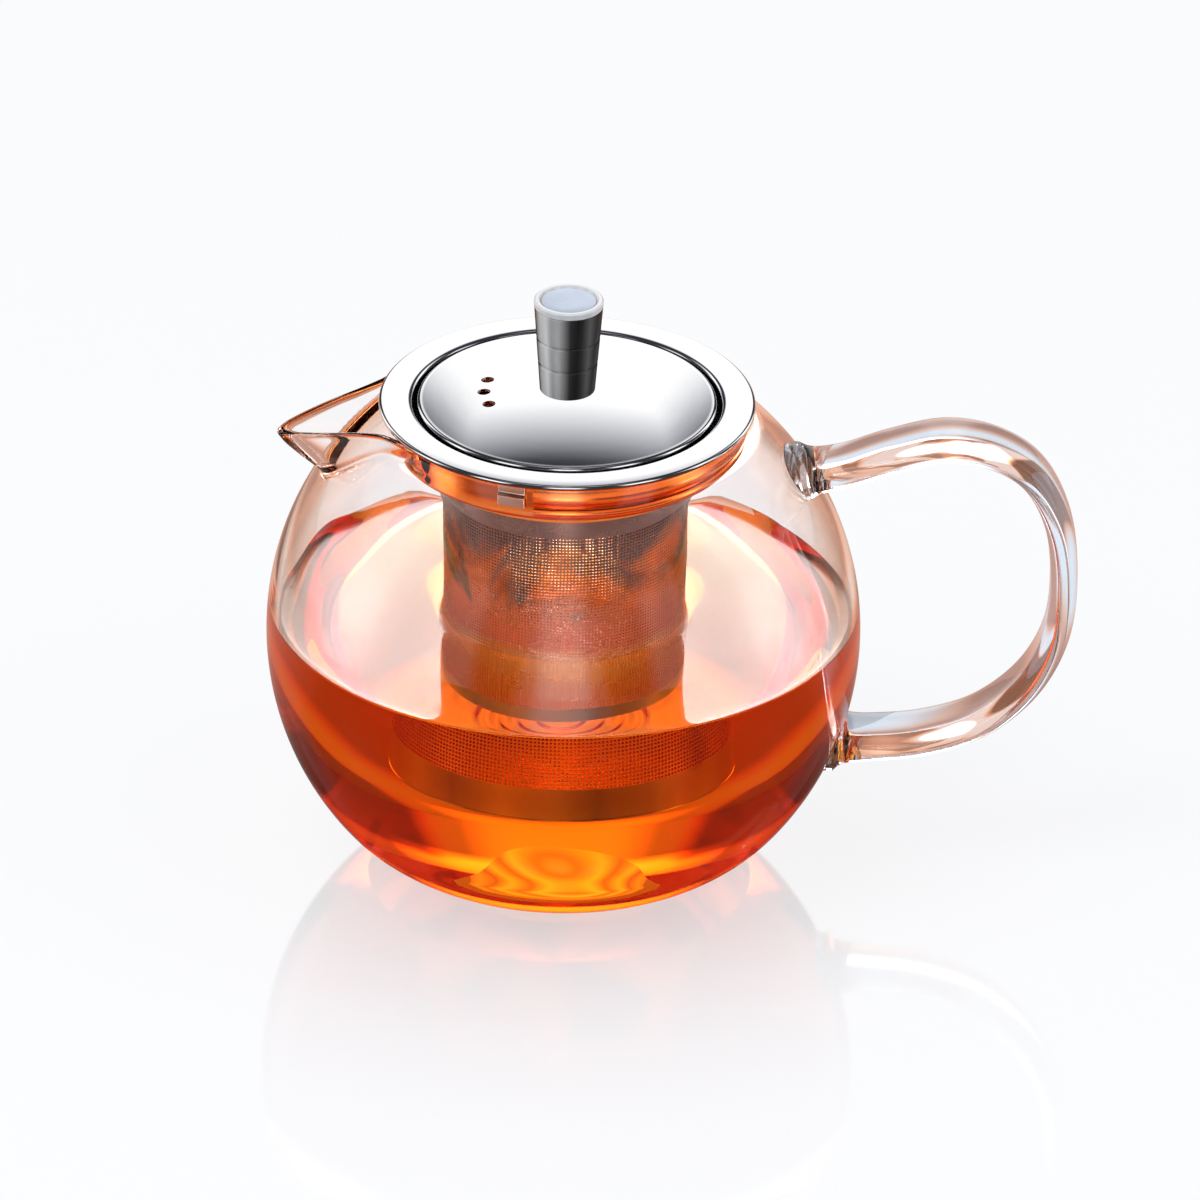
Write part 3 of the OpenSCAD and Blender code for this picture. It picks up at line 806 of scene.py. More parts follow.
def handle_shape(look):
    """The flattened glass rod with both roots melted onto the globe."""
    globe, low = look.globe_radius / MM, look.globe_height / MM
    reach, rise, drop = look.handle_reach / MM, look.handle_rise / MM, look.handle_drop / MM
    knots = np.array([(globe + a * reach, b * (rise if b > 0 else drop)) for a, b in HANDLE])
    knots = np.concatenate([knots[:1], knots, knots[-1:]])
    line = []
    for i in range(1, len(knots) - 2):
        p0, p1, p2, p3 = knots[i - 1:i + 3]
        for t in np.linspace(0, 1, 14, endpoint=False):
            line.append(0.5 * (2 * p1 + (p2 - p0) * t + (2 * p0 - 5 * p1 + 4 * p2 - p3) * t * t
                               + (3 * p1 - p0 - 3 * p2 + p3) * t ** 3))
    line.append(knots[-2])
    line = np.array(line)
    s = np.linspace(0, 1, len(line))
    run = np.gradient(line, axis=0)
    run /= np.linalg.norm(run, axis=1)[:, None]
    side = np.stack([-run[:, 1], run[:, 0]], 1)
    grip, root = look.handle_thickness / MM, look.handle_root / MM
    wide, root_wide = look.handle_width / MM, look.handle_root_width / MM
    thick = grip + (root - grip) * np.abs(2 * s - 1) ** 1.6
    width = wide - (wide - root_wide) * np.maximum(0, 1 - s / 0.24) ** 2
    far = np.linalg.norm(line, axis=1) - globe
    flare = FLARE * np.exp(-np.maximum(far, 0) / FLARE_HEIGHT)
    around = np.linspace(0, 2 * math.pi, 72, endpoint=False)
    across, along = (np.sign(f(around)) * np.abs(f(around)) ** ROD_SQUARE for f in (np.cos, np.sin))
    strands = []
    for a, b in zip(across, along):
        off = a * (thick / 2 + flare)
        beside = line + side * off[:, None]
        pts = np.stack([beside[:, 0], b * (width / 2 + flare), beside[:, 1]], 1)
        away = np.linalg.norm(pts, axis=1) - (globe - ROOT_DEPTH)
        out = np.where(away > 0)[0]
        i, j = out[0], out[-1]
        t0 = -away[i - 1] / (away[i] - away[i - 1]) + i - 1
        t1 = j + away[j] / (away[j] - away[j + 1])
        u = np.linspace(0, 1, 170)
        u = u - 0.16 * np.sin(2 * math.pi * u) / math.pi
        at = t0 + (t1 - t0) * u
        k = np.minimum(at.astype(int), len(pts) - 2)
        strands.append(pts[k] + (pts[k + 1] - pts[k]) * (at - k)[:, None])
    rings = list(np.stack(strands, 1))

    def cap(ring):
        middle = ring.mean(0)
        made = []
        for f in (0.8, 0.6, 0.4, 0.2):
            p = middle + (ring - middle) * f
            made.append(p / np.linalg.norm(p, axis=1)[:, None] * (globe - ROOT_DEPTH))
        return made, middle / np.linalg.norm(middle) * (globe - ROOT_DEPTH)

    first_cap, first = cap(rings[0])
    last_cap, last = cap(rings[-1])
    rings = first_cap[::-1] + rings + last_cap
    lift = np.array([0, 0, low])
    return from_rings([r + lift for r in rings], first + lift, last + lift)


# ---------- infuser ----------

# The spring strip's height, its play in the neck and its ends round the collar, in millimetres and degrees
STRIP_HEIGHT, STRIP_PLAY = 8.4, 0.3
STRIP_START, STRIP_END = 259, 259 + 313
CLASP_ANGLE = 251
# The cup's height, and the height over the table where the perforation ends
CUP_HEIGHT = 6.7
MESH_TOP = 94.0
# Steam holes: where the middle one sits round the lid and how far the others stand from it, in degrees
STEAM_MIDDLE, STEAM_PITCH = 182, 18.5


def perforated_tube(r, thick, low, high, rows, columns, hole_w, hole_h):
    """A thin tube with a square hole in every cell."""
    turn = 2 * math.pi / columns
    pitch = (high - low) / rows
    c, k = np.meshgrid(np.arange(columns), np.arange(rows), indexing="ij")
    points, faces, base = [], [], {}

    def put(name, angle, z, radius):
        base[name] = sum(len(p) for p in points)
        ring = [radius * np.cos(angle), radius * np.sin(angle), z]
        points.append(np.stack([part.ravel() for part in ring], 1))

    def join(*corners):
        faces.append(np.stack([corner.ravel() for corner in corners], 1))

    gc, gk = np.meshgrid(np.arange(columns), np.arange(rows + 1), indexing="ij")
    dw, dh = hole_w / r / 2, hole_h / 2
    for label, radius in (("out", r), ("in", r - thick)):
        put(label, gc * turn, low + gk * pitch, radius)
        for n, (sx, sy) in enumerate([(-1, -1), (1, -1), (1, 1), (-1, 1)]):
            put(label + str(n), (c + 0.5) * turn + sx * dw, low + (k + 0.5) * pitch + sy * dh, radius)
    wrap = (c + 1) % columns
    corner = [c * (rows + 1) + k, wrap * (rows + 1) + k, wrap * (rows + 1) + k + 1, c * (rows + 1) + k + 1]
    for n, m in ((0, 1), (1, 2), (2, 3), (3, 0)):
        edges = [base[side + str(i)] + c * rows + k for side in ("out", "in") for i in (n, m)]
        out_n, out_m, in_n, in_m = edges
        join(base["out"] + corner[n], base["out"] + corner[m], out_m, out_n)
        join(in_n, in_m, base["in"] + corner[m], base["in"] + corner[n])
        join(out_n, out_m, in_m, in_n)
    ring = np.arange(columns)
    after = (ring + 1) % columns
    a, b = ring * (rows + 1), after * (rows + 1)
    join(base["in"] + a, base["in"] + b, base["out"] + b, base["out"] + a)
    a, b = a + rows, b + rows
    join(base["out"] + a, base["out"] + b, base["in"] + b, base["in"] + a)
    return np.concatenate(points).tolist(), np.concatenate(faces).tolist()


def spring_band_shape(inner, low, height, out, thick, start, end):
    """The corrugated strip, bent round the collar."""
    broad = height * 0.62
    narrow = height - broad
    crest = [(out * 0.7 * math.sin(math.pi * i / 14), narrow * i / 14) for i in range(15)]
    crest += [(out * math.sin(math.pi * i / 20), narrow + broad * i / 20) for i in range(1, 21)]
    section = crest + [(x + thick, z) for x, z in crest[::-1]]
    rings = []
    for a in np.linspace(math.radians(start), math.radians(end), 150):
        rings.append([((inner + x) * math.cos(a), (inner + x) * math.sin(a), low + z) for x, z in section])
    points, faces = from_rings(rings)
    n = len(section)
    faces += [tuple(range(n)), tuple(range(len(points) - 1, len(points) - 1 - n, -1))]
    return points, faces


def plate_shape(section, width, angle, radius, low):
    """A bent plate of this section (outwards, up), standing at an angle round the axis."""
    points = []
    c, s = math.cos(math.radians(angle)), math.sin(math.radians(angle))
    for side in (-width / 2, width / 2):
        for x, z in section:
            points.append(((radius + x) * c - side * s, (radius + x) * s + side * c, low + z))
    n = len(section)
    faces = [tuple(range(n)), tuple(range(2 * n - 1, n - 1, -1))]
    faces += [(i, (i + 1) % n, n + (i + 1) % n, n + i) for i in range(n)]
    return points, faces


# ---------- stage ----------

# Upright flags round the pot: start and full value of their soft edge, and how many stand in the circle
SIDE_FLAGS = (-0.65, -0.15, 4)
MIDDLE_FLAGS = (-0.97, -0.60, 4)
STEEL_FLAGS = (-0.70, 0.4, 8)
# Soft steps over the floor: stops of (share of a distance from the pot's axis, value), and that distance
# in metres
GLOSS_REACH = 0.2
FLOOR_GLOSS = ((0.18, 1.0), (0.34, 0.62), (0.50, 0.26), (0.68, 0.10), (0.95, 0.0))
FLOOR_SPAN = 1.5
FLOOR_FAR = (
    (0.0, 0.0), (0.055, 0.0), (0.075, 0.85), (0.095, 0.90), (0.125, 0.0), (0.16, 0.0), (0.22, 0.30),
    (0.26, 0.0),
)
FAR_SIDES = ((0.165, 0.0), (0.205, 1.0))
FOOT_REACH = 0.08
FLOOR_NEAR = ((0.0, 1.0), (0.50, 1.0), (0.58, 0.36), (1.0, 0.36))
# Rings of light behind the foot: their reach, middle and front edge in metres, how much flatter than round
# they are, their strength against the middle light, and stops of (share of their reach, brightness)
RING_REACH, RING_MIDDLE, RING_FRONT = 0.028, 0.062, 0.043
RING_SQUASH = 1.5
RING_LIGHT = 2.6
FOOT_RINGS = (
    (0.0, 0.75), (0.14, 1.0), (0.24, 0.36), (0.36, 0.95), (0.46, 0.26), (0.60, 0.82), (0.72, 0.20),
    (0.86, 0.50), (1.0, 0.20),
)
# What polished steel mirrors of the floor: in front of the pot, behind it, and the step over one metre
MIRROR_FRONT, MIRROR_BACK = (0.03, 0.03, 0.03), (0.80, 0.46, 0.34)
MIRROR_STEP = ((0.5, 0.0), (0.6, 1.0))
# Brightness of the floor's own glow, and its colours where it lights the pot and where it takes the shadow
FLOOR_GLOW = 0.80
FLOOR_FILL = (0.62, 0.62, 0.62)
FLOOR_MATT, FLOOR_MATT_MIRRORED = (0.20, 0.20, 0.20), (0.02, 0.02, 0.02)
# Soft belts of the tent: stops of (share of a right angle over the floor, value)
STEEL_DARK = ((0.0, 0.0), (0.36, 0.0), (0.455, 0.5), (0.52, 1.0), (0.76, 1.0), (0.92, 0.3))
GLASS_DARK = ((0.0, 0.0), (0.40, 0.0), (0.46, 0.45), (0.60, 0.6), (0.76, 0.66), (0.92, 0.2))
TENT_SIDES = ((0.0, 1.0), (0.16, 1.0), (0.20, 0.4))
TENT_CLOUDS = ((0.36, 0.0), (0.42, 1.0))
TENT_BRIGHT = ((0.12, 0.0), (0.17, 1.0), (0.34, 1.0), (0.38, 0.0))
CLOUD_EDGE = ((0.0, 0.0), (0.42, 0.0), (0.54, 0.9))
SOFTBOX_EDGE = ((0.88, 0.0), (0.955, 1.0))
TENT_LIGHT = 1.1
TENT_RADIUS = 4000
# Stops of (darkness, colour) from the white cloth over its warm or cool edge to the dark flag
WARM_EDGE = (
    (0.0, (1, 1, 1)), (0.30, (1.0, 0.80, 0.72)), (0.55, (1.0, 0.50, 0.30)), (0.80, (0.70, 0.26, 0.13)),
    (1.0, (0.27, 0.11, 0.06)),
)
COOL_EDGE = ((0.0, (1, 1, 1)), (0.5, (0.42, 0.43, 0.46)), (1.0, (0.03, 0.03, 0.035)))
# Camera: tilt and roll, its distance and the width it sees there in metres, and its aim beside the globe's
# middle
TILT, ROLL = math.radians(27.6), math.radians(1.0)
CAMERA_DISTANCE, CAMERA_WIDTH = 6.0, 0.27473
AIM_HEIGHT, AIM_RIGHT, AIM_UP = 0.057, 0.00838, 0.00618


# ---------- operators ----------

class TEAPOT_OT_stage(Operator):
    """Set up the floor, the backdrop, the lights and the camera"""
    bl_idname = "teapot.stage"
    bl_label = "Stage"

    def execute(self, context):
        look = context.scene.teapot_stage
        self.world(look)
        self.floor(look)
        self.backdrop(look)
        self.lamps()
        self.camera()
        view = context.scene.view_settings
        view.view_transform = "Standard"
        cycles = context.scene.cycles
        cycles.max_bounces = 24
        cycles.transmission_bounces = 20
        cycles.glossy_bounces = 8
        cycles.diffuse_bounces = 3
        return {"FINISHED"}

    def world(self, look):
        """Plain pale surroundings, a little dimmer where they light the pot than where they are seen."""
        world = bpy.data.worlds.new("plain_light")
        bpy.context.scene.world = world
        world.use_nodes = True
        net = Net(world.node_tree)
        light = world.node_tree.nodes["Background"]
        light.inputs["Color"].default_value = (*look.background, 1)
        rays = net.add("LightPath").outputs
        seen = net.most(rays["Is Camera Ray"], rays["Is Glossy Ray"], rays["Is Transmission Ray"])
        level = net.add("MapRange", seen, 0.0, 1.0, 0.62, 1.0)
        net.link(level.outputs[0], light.inputs["Strength"])

    def floor(self, look):
        """The pale floor: it glows as written, keeps the shadow and mirrors softly round the foot."""
        material, net, out = bare_material("pale_floor")
        background = tuple(look.background)
        path = net.add("LightPath")
        passed, mirrored = path.outputs["Is Transmission Ray"], net.mirrored(path)
        place = net.place()
        part, far = net.parts(place), net.length(place)
        dark, gap = net.behind_tea(part, net.ramp(far, FAR_SIDES, 0.0, FLOOR_SPAN))
        through = net.colours(net.most(dark, net.ramp(far, FLOOR_FAR, 0.0, FLOOR_SPAN)), WARM_EDGE)
        shown = net.mix(net.ramp(part["Y"], MIRROR_STEP, -0.5, 0.5), MIRROR_FRONT, MIRROR_BACK)
        lit = net.mix(path.outputs["Is Camera Ray"], FLOOR_FILL, (1, 1, 1))
        lit = net.mix(mirrored, net.mix(passed, lit, through), shown)
        foot = net.product(net.ramp(far, FLOOR_NEAR, 0.0, FOOT_REACH), look.foot_glow)
        foot = net.most(foot, self.foot_rings(net, part, look))
        under = net.product(passed, net.math("LESS_THAN", far, FOOT_REACH))
        beside = net.product(net.rest(under), FLOOR_GLOW)
        level = net.math("ADD", net.product(under, foot), beside)
        level = net.math("ADD", level, net.product(gap, passed, look.middle_light))
        glow = net.add("Emission", net.times(lit, background), level)
        matt = net.times(net.mix(mirrored, FLOOR_MATT, FLOOR_MATT_MIRRORED), background)
        matt = net.add("BsdfDiffuse", matt)
        both = net.add("AddShader", glow.outputs[0], matt.outputs[0])
        mirror = net.add("BsdfGlossy", (1, 1, 1), 0.06)
        gloss = net.product(net.ramp(far, FLOOR_GLOSS, 0.0, GLOSS_REACH), look.gloss)
        mix = net.add("MixShader", gloss, both.outputs[0], mirror.outputs[0])
        net.link(mix.outputs[0], out.inputs["Surface"])
        wide, sunk = 30000, 0.05 * MM
        corners = [(-wide, -wide, 0), (wide, -wide, 0), (wide, wide, 0), (-wide, wide, 0)]
        floor = piece("floor", (corners, [(0, 1, 2, 3)]), material, None)
        floor.location.z = -sunk

    def foot_rings(self, net, part, look):
        """Nested rings of light that the tea gathers on the table just behind the foot."""
        depth = part["Y"]
        along = net.math("MULTIPLY_ADD", depth, RING_SQUASH, -RING_SQUASH * RING_MIDDLE)
        flat = net.add("CombineXYZ", part["X"], along, 0.0)
        aside = net.math("DIVIDE", net.length(flat.outputs[0]), RING_REACH)
        bright = net.product(net.ramp(aside, FOOT_RINGS), look.middle_light * RING_LIGHT)
        within = net.product(net.math("LESS_THAN", aside, 1.0), net.math("GREATER_THAN", depth, RING_FRONT))
        return net.product(bright, within)

    def backdrop(self, look):
        """A tent that only steel and glass show: white cloth, dark flags and belts, a soft light behind."""
        material, net, out = bare_material("pale_tent")
        path = net.add("LightPath")
        place = net.add("VectorMath", net.place())
        place.operation = "NORMALIZE"
        part = net.parts(place.outputs[0])
        across, depth = part["X"], part["Y"]
        height = net.math("MULTIPLY", net.math("ARCSINE", part["Z"]), 180 / math.pi)

        def belt(stops):
            return net.ramp(height, stops, 0.0, 90.0)

        dark, gap = net.behind_tea(part, belt(TENT_SIDES))
        clouds = net.ramp(net.noise(place.outputs[0], 2.6, 1.0, 1.0), CLOUD_EDGE)
        dark = net.most(dark, net.product(clouds, belt(TENT_CLOUDS)), belt(GLASS_DARK))
        steel_dark = net.most(net.flags(part, *STEEL_FLAGS), belt(STEEL_DARK))
        behind = net.math("DIVIDE", depth, net.length(net.add("CombineXYZ", across, depth, 0.0).outputs[0]))
        softbox = net.product(belt(TENT_BRIGHT), net.ramp(behind, SOFTBOX_EDGE))
        bright = net.math("MULTIPLY_ADD", softbox, look.back_light - 1.0, 1.0)
        bright = net.math("MULTIPLY_ADD", gap, look.middle_light, bright)
        shown = net.mix(net.mirrored(path), net.colours(dark, WARM_EDGE), net.colours(steel_dark, COOL_EDGE))
        level = net.most(net.product(bright, path.outputs["Is Transmission Ray"]), TENT_LIGHT)
        net.link(net.add("Emission", shown, level).outputs[0], out.inputs["Surface"])
        material.cycles.emission_sampling = "NONE"
        arc = np.linspace(-0.1, math.pi / 2, 24)
        profile = [(TENT_RADIUS * math.cos(a), TENT_RADIUS * math.sin(a)) for a in arc]
        tent = piece("backdrop", lathe(profile, 64), material, None)
        tent.visible_camera = False
        tent.visible_diffuse = False
        tent.visible_shadow = False
        tent.visible_volume_scatter = False

    def lamps(self):
        for name, place, power in (("key", (-0.7, -0.5, 1.3), 9.0), ("fill", (0.9, -0.3, 1.1), 4.0)):
            light = bpy.data.lights.new(name, "AREA")
            light.size = 1.0
            light.energy = power
            lamp = bpy.data.objects.new(name, light)
            lamp.location = place
            lamp.rotation_euler = (Vector((0, 0, 0.06)) - Vector(place)).to_track_quat("-Z", "Y").to_euler()
            lamp.visible_camera = False
            lamp.visible_glossy = False
            lamp.visible_transmission = False
            bpy.context.scene.collection.objects.link(lamp)

    def camera(self):
        lens = bpy.data.cameras.new("camera")
        camera = bpy.data.objects.new("camera", lens)
        bpy.context.scene.collection.objects.link(camera)
        ahead = Vector((0, math.cos(TILT), -math.sin(TILT)))
        level, rise = Vector((1, 0, 0)), Vector((0, math.sin(TILT), math.cos(TILT)))
        right = level * math.cos(ROLL) + rise * math.sin(ROLL)
        up = rise * math.cos(ROLL) - level * math.sin(ROLL)
        aim = Vector((0, 0, AIM_HEIGHT)) + right * AIM_RIGHT + up * AIM_UP
        place = Matrix((right, up, -ahead)).transposed().to_4x4()
        place.translation = aim - ahead * CAMERA_DISTANCE
        camera.matrix_world = place
        lens.sensor_width = 36
        lens.lens = lens.sensor_width * CAMERA_DISTANCE / CAMERA_WIDTH
        lens.clip_end = 100
        bpy.context.scene.camera = camera


class TEAPOT_OT_glass_pot(Operator):
    """Blow the pot: globe, neck, lip and pulled spout"""
    bl_idname = "teapot.glass_pot"
    bl_label = "Glass pot"

    def execute(self, context):
        tea = context.scene.teapot_tea
        shape = PotShape(context.scene.teapot_glass)
        waterline = (tea.level + tea.climb) / MM
        # The pot's glass takes a painted warm reflection of the tea at its edges
        glass = painted_edge_reflection(clear_glass("pot_glass"))
        blown = glass_pot_shape(shape, waterline)
        pot = piece("glass_pot", blown, glass, "pot", ["glass_body"], 60)
        pot.data.materials.append(clear_glass("wetted_glass", GLASS_IOR / TEA_IOR))
        middle = Vector((0, 0, shape.low * MM))
        reach = (shape.r - shape.wall / 2) * MM
        for face in pot.data.polygons:
            high = face.center.z / MM
            wet = shape.bottom / 2 < high < waterline and (face.center - middle).length < reach
            face.material_index = int(wet)
        return {"FINISHED"}


class TEAPOT_OT_handle(Operator):
    """Draw the glass handle and melt it onto the globe"""
    bl_idname = "teapot.handle"
    bl_label = "Handle"

    def execute(self, context):
        look = context.scene.teapot_glass
        cool = clear_glass("handle_glass", colour=tuple(look.handle_painted_shade))
        piece("glass_handle", handle_shape(look), cool, "pot", ["handle"], 60)
        return {"FINISHED"}


class TEAPOT_OT_tea(Operator):
    """Pour the tea"""
    bl_idname = "teapot.tea"
    bl_label = "Tea"

    def execute(self, context):
        look = context.scene.teapot_tea
        shape = PotShape(context.scene.teapot_glass)
        piece("tea", tea_shape(shape, look.level / MM, look.climb / MM), amber_tea(), "pot", [], 60)
        return {"FINISHED"}


class TEAPOT_OT_infuser(Operator):
    """Press the infuser's collar and hang its spring strip and clasp on it"""
    bl_idname = "teapot.infuser"
    bl_label = "Infuser collar"

    def execute(self, context):
        look = context.scene.teapot_steel
        t, top = look.sheet / MM, flange_top(context)
        ledge = top - COLLAR_DEPTH
        self.collar(look, t, top, ledge)
        outer = look.collar_radius / MM + t + 0.05
        # The strip's orange is a painted reflection of the tea
        spring = metal("strip_steel", look.warm, 0.10, 0.18, 50.0, 0.85, 0.01)
        thick = 0.4
        out = context.scene.teapot_glass.neck_radius / MM - STRIP_PLAY - outer - thick
        strip = spring_band_shape(outer, ledge + 0.7, STRIP_HEIGHT, out, thick, STRIP_START, STRIP_END)
        piece("spring_strip", strip, spring, "infuser", ["spring_band"], 40)
        self.clasp(outer, top - t - 0.4)
        return {"FINISHED"}

    def collar(self, look, t, top, ledge):
        """The pressed sheet: rolled flange, wall, and the ledge with the socket that takes the basket."""
        r, edge, throat = look.collar_radius / MM, look.flange_radius / MM, look.basket_radius / MM + 0.05
        roll, socket = 0.7, 4
        profile = [(throat, ledge - t - socket, 0.1), (throat, ledge, 1.0), (r, ledge, 1.2), (r, top, 1.3)]
        for a in np.linspace(0, math.pi, 9):
            profile.append((edge - roll + roll * math.sin(a), top - roll + roll * math.cos(a), 0))
        profile += [(edge - roll - 0.5, top - t, 0.2), (r + t, top - t, 0.8), (r + t, ledge - t, 1.5)]
        profile += [(throat + t, ledge - t, 0.5), (throat + t, ledge - t - socket, 0.1)]
        polished = metal("collar_steel", look.polished, 0.05, 0.10, 40.0, 0.97, 0.01, 0.015, 500.0)
        sheet, stands_for = lathe(soften(profile), 256, True), ["infuser_collar"]
        collar = piece("infuser_collar_sheet", sheet, polished, "infuser", stands_for, 40)
        # The collar's outer wall takes a painted orange reflection of the tea; the inner wall of the lid's
        # groove takes painted shade
        collar.data.materials.append(metal("painted_reflection_steel", look.warm, 0.10, 0.20, 50.0, 0.6, 0.01))
        collar.data.materials.append(metal("painted_shade_steel", (0.10, 0.10, 0.11), 0.20, 0.30))
        for face in collar.data.polygons:
            high, way = face.center.z / MM, outward(face)
            if way > 0 and high < top - t - 0.2 and abs(face.normal.z) < 0.8:
                face.material_index = 1
            elif way < 0 and ledge + 1.0 < high < top - 0.5:
                face.material_index = 2

    def clasp(self, outer, top):
        """The small joggled plate in the strip's open part."""
        tall, joggle, thick, wide = 8.0, 0.7, 0.5, 6.2
        bend = tall * 0.38
        side = [(0, tall), (0, bend), (joggle, bend - joggle), (joggle, 0), (joggle + thick, 0),
                (joggle + thick, bend - joggle / 2), (thick, bend + joggle / 2), (thick, tall)]
        bare = metal("bare_steel", (0.86, 0.76, 0.72), 0.12, 0.20, 50.0, 0.92, 0.01)
        plate = plate_shape(side, wide, CLASP_ANGLE, outer, top - tall)
        clasp = piece("strip_clasp", plate, bare, "infuser", ["band_clasp"], 30)
        soft = clasp.modifiers.new("edges", "BEVEL")
        soft.width, soft.segments = 0.00012, 2


class TEAPOT_OT_basket(Operator):
    """Roll the perforated sheet and close it with its bottom cup"""
    bl_idname = "teapot.basket"
    bl_label = "Basket"

    def execute(self, context):
        look = context.scene.teapot_steel
        r, thick = look.basket_radius / MM, 0.4
        top = flange_top(context)
        low = top - BASKET_DEPTH
        start = low + CUP_HEIGHT
        # The basket's sheet: painted orange reflection of the tea, golden under the tea, painted shade above
        steel = painted_tea_reflection_metal("perforated_steel", look.perforated, look.shaded, 0.22, 0.34, 0.070, 0.100)
        # Golden steel of the cup and the foot margin, with painted upright reflection bands
        band = metal("basket_band_steel", (1.0, 0.86, 0.56), 0.12, 0.22, 60.0, 0.8, 0.02, 0.03, 700.0)
        band = painted_reflection_bands(band, CUP_REFLECTIONS)
        self.mesh(look.mesh_pitch / MM, r, thick, start, steel)
        socket = top - COLLAR_DEPTH - look.sheet / MM - 0.05
        inner = r - thick
        upper = [(r, MESH_TOP, 0), (r, socket, 0.1), (inner, socket, 0.1), (inner, MESH_TOP, 0)]
        self.turned("basket_top_margin", upper, steel, "basket_sleeve")
        lower = [(r, low + 0.4, 0.1), (r, start, 0), (inner, start, 0), (inner, low + 0.4, 0.1)]
        self.turned("basket_foot_margin", lower, band, "basket_sleeve")
        wall = inner - 0.05
        cup = [(0, low, 0), (r, low, 0.3), (r, low + 0.35, 0.15), (wall, low + 0.36, 0.02)]
        cup += [(wall, start, 0.15), (wall - thick, start, 0.15), (wall - thick, low + 0.4, 0.8)]
        cup.append((0, low + 0.4, 0))
        self.turned("basket_cup", cup, band, "basket_bottom", False)
        return {"FINISHED"}

    def turned(self, name, corners, finish, node, loop=True):
        self.part(name, lathe(soften(corners, loop), 256, loop), finish, node)

    def part(self, name, shape, finish, node):
        return piece(name, shape, finish, "infuser", [node])

    def mesh(self, pitch, r, thick, start, steel):
        """The perforated sleeve, in lengths, with the sheet's inside in its own finish."""
        inside = metal("basket_inside_steel", (0.95, 0.62, 0.46), 0.30, 0.40, 90.0, 0.8, 0.0)
        rows = round((MESH_TOP - start) / pitch)
        columns = round(2 * math.pi * r / pitch)
        row = (MESH_TOP - start) / rows
        hole = 0.60 * pitch
        lengths = 3
        for k in range(lengths):
            a, b = round(rows * k / lengths), round(rows * (k + 1) / lengths)
            tube = perforated_tube(r, thick, start + a * row, start + b * row, b - a, columns, hole, hole)
            mesh = self.part("basket_mesh_%d" % (k + 1), tube, steel, "basket_sleeve")
            mesh.data.materials.append(inside)
            for face in mesh.data.polygons:
                face.material_index = int(outward(face) < -0.5 * r * MM)


class TEAPOT_OT_lid(Operator):
    """Press the domed lid with its steam holes"""
    bl_idname = "teapot.lid"
    bl_label = "Lid"

    def execute(self, context):
        look = context.scene.teapot_steel
        t, edge_z = look.sheet / MM, flange_top(context) + LID_PLAY
        r, rise = look.lid_radius / MM, look.dome_rise / MM
        big = (r * r + rise * rise) / (2 * rise)
        crown = edge_z + rise

        def dome(x, drop):
            return crown - big + math.sqrt((big - drop) ** 2 - x * x)

        bend = 0.9
        turn = r - bend
        profile = [(x, dome(x, 0)) for x in np.linspace(0, turn, 60)]
        for a in np.linspace(0.12, math.pi / 2, 9):
            profile.append((turn + bend * math.sin(a), dome(turn, 0) - bend + bend * math.cos(a)))
        foot = edge_z - 2.4
        profile += [(r, foot + 0.2), (r - 0.1, foot), (r - t + 0.1, foot), (r - t, foot + 0.2)]
        profile += [(x, dome(x, t)) for x in np.linspace(r - t - 0.6, 0, 50)]
        steel = metal("lid_steel", look.polished, 0.06, 0.11, 30.0, 0.97, 0.01, 0.02, 420.0)
        lid = piece("lid_dome_sheet", lathe(profile, 256), steel, "lid", ["lid_dome"], 40)
        self.pierce(context, look, lid, steel, crown)
        plain = metal("plain_steel", look.plain, 0.18, 0.30)
        for node in ("lid_skirt", "knob_screw", "knob_washer"):
            keep_solid(node, plain)
        return {"FINISHED"}

    def pierce(self, context, look, lid, steel, crown):
        """Cut the three steam holes through the dome."""
        cutters = []
        for k in (-1, 0, 1):
            angle = math.radians(STEAM_MIDDLE + STEAM_PITCH * k)
            x, y = look.steam_circle * math.cos(angle), look.steam_circle * math.sin(angle)
            r, low, high = look.steam_hole / 2, (crown - 6) * MM, (crown + 3) * MM
            round_it = np.linspace(0, 2 * math.pi, 48, endpoint=False)
            rings = [[(x + r * math.cos(a), y + r * math.sin(a), z) for a in round_it] for z in (low, high)]
            rod = from_rings(rings, (x, y, low), (x, y, high))
            cutter = piece("steam_cutter_%d" % k, rod, steel, None, scale=1)
            cutters.append(cutter)
            cut = lid.modifiers.new("steam", "BOOLEAN")
            cut.operation, cut.solver, cut.object = "DIFFERENCE", "EXACT", cutter
        graph = context.evaluated_depsgraph_get()
        holed = bpy.data.meshes.new_from_object(lid.evaluated_get(graph))
        lid.modifiers.clear()
        lid.data = holed
        holed.shade_smooth()
        holed.set_sharp_from_angle(angle=math.radians(35))
        for cutter in cutters:
            bpy.data.objects.remove(cutter, do_unlink=True)


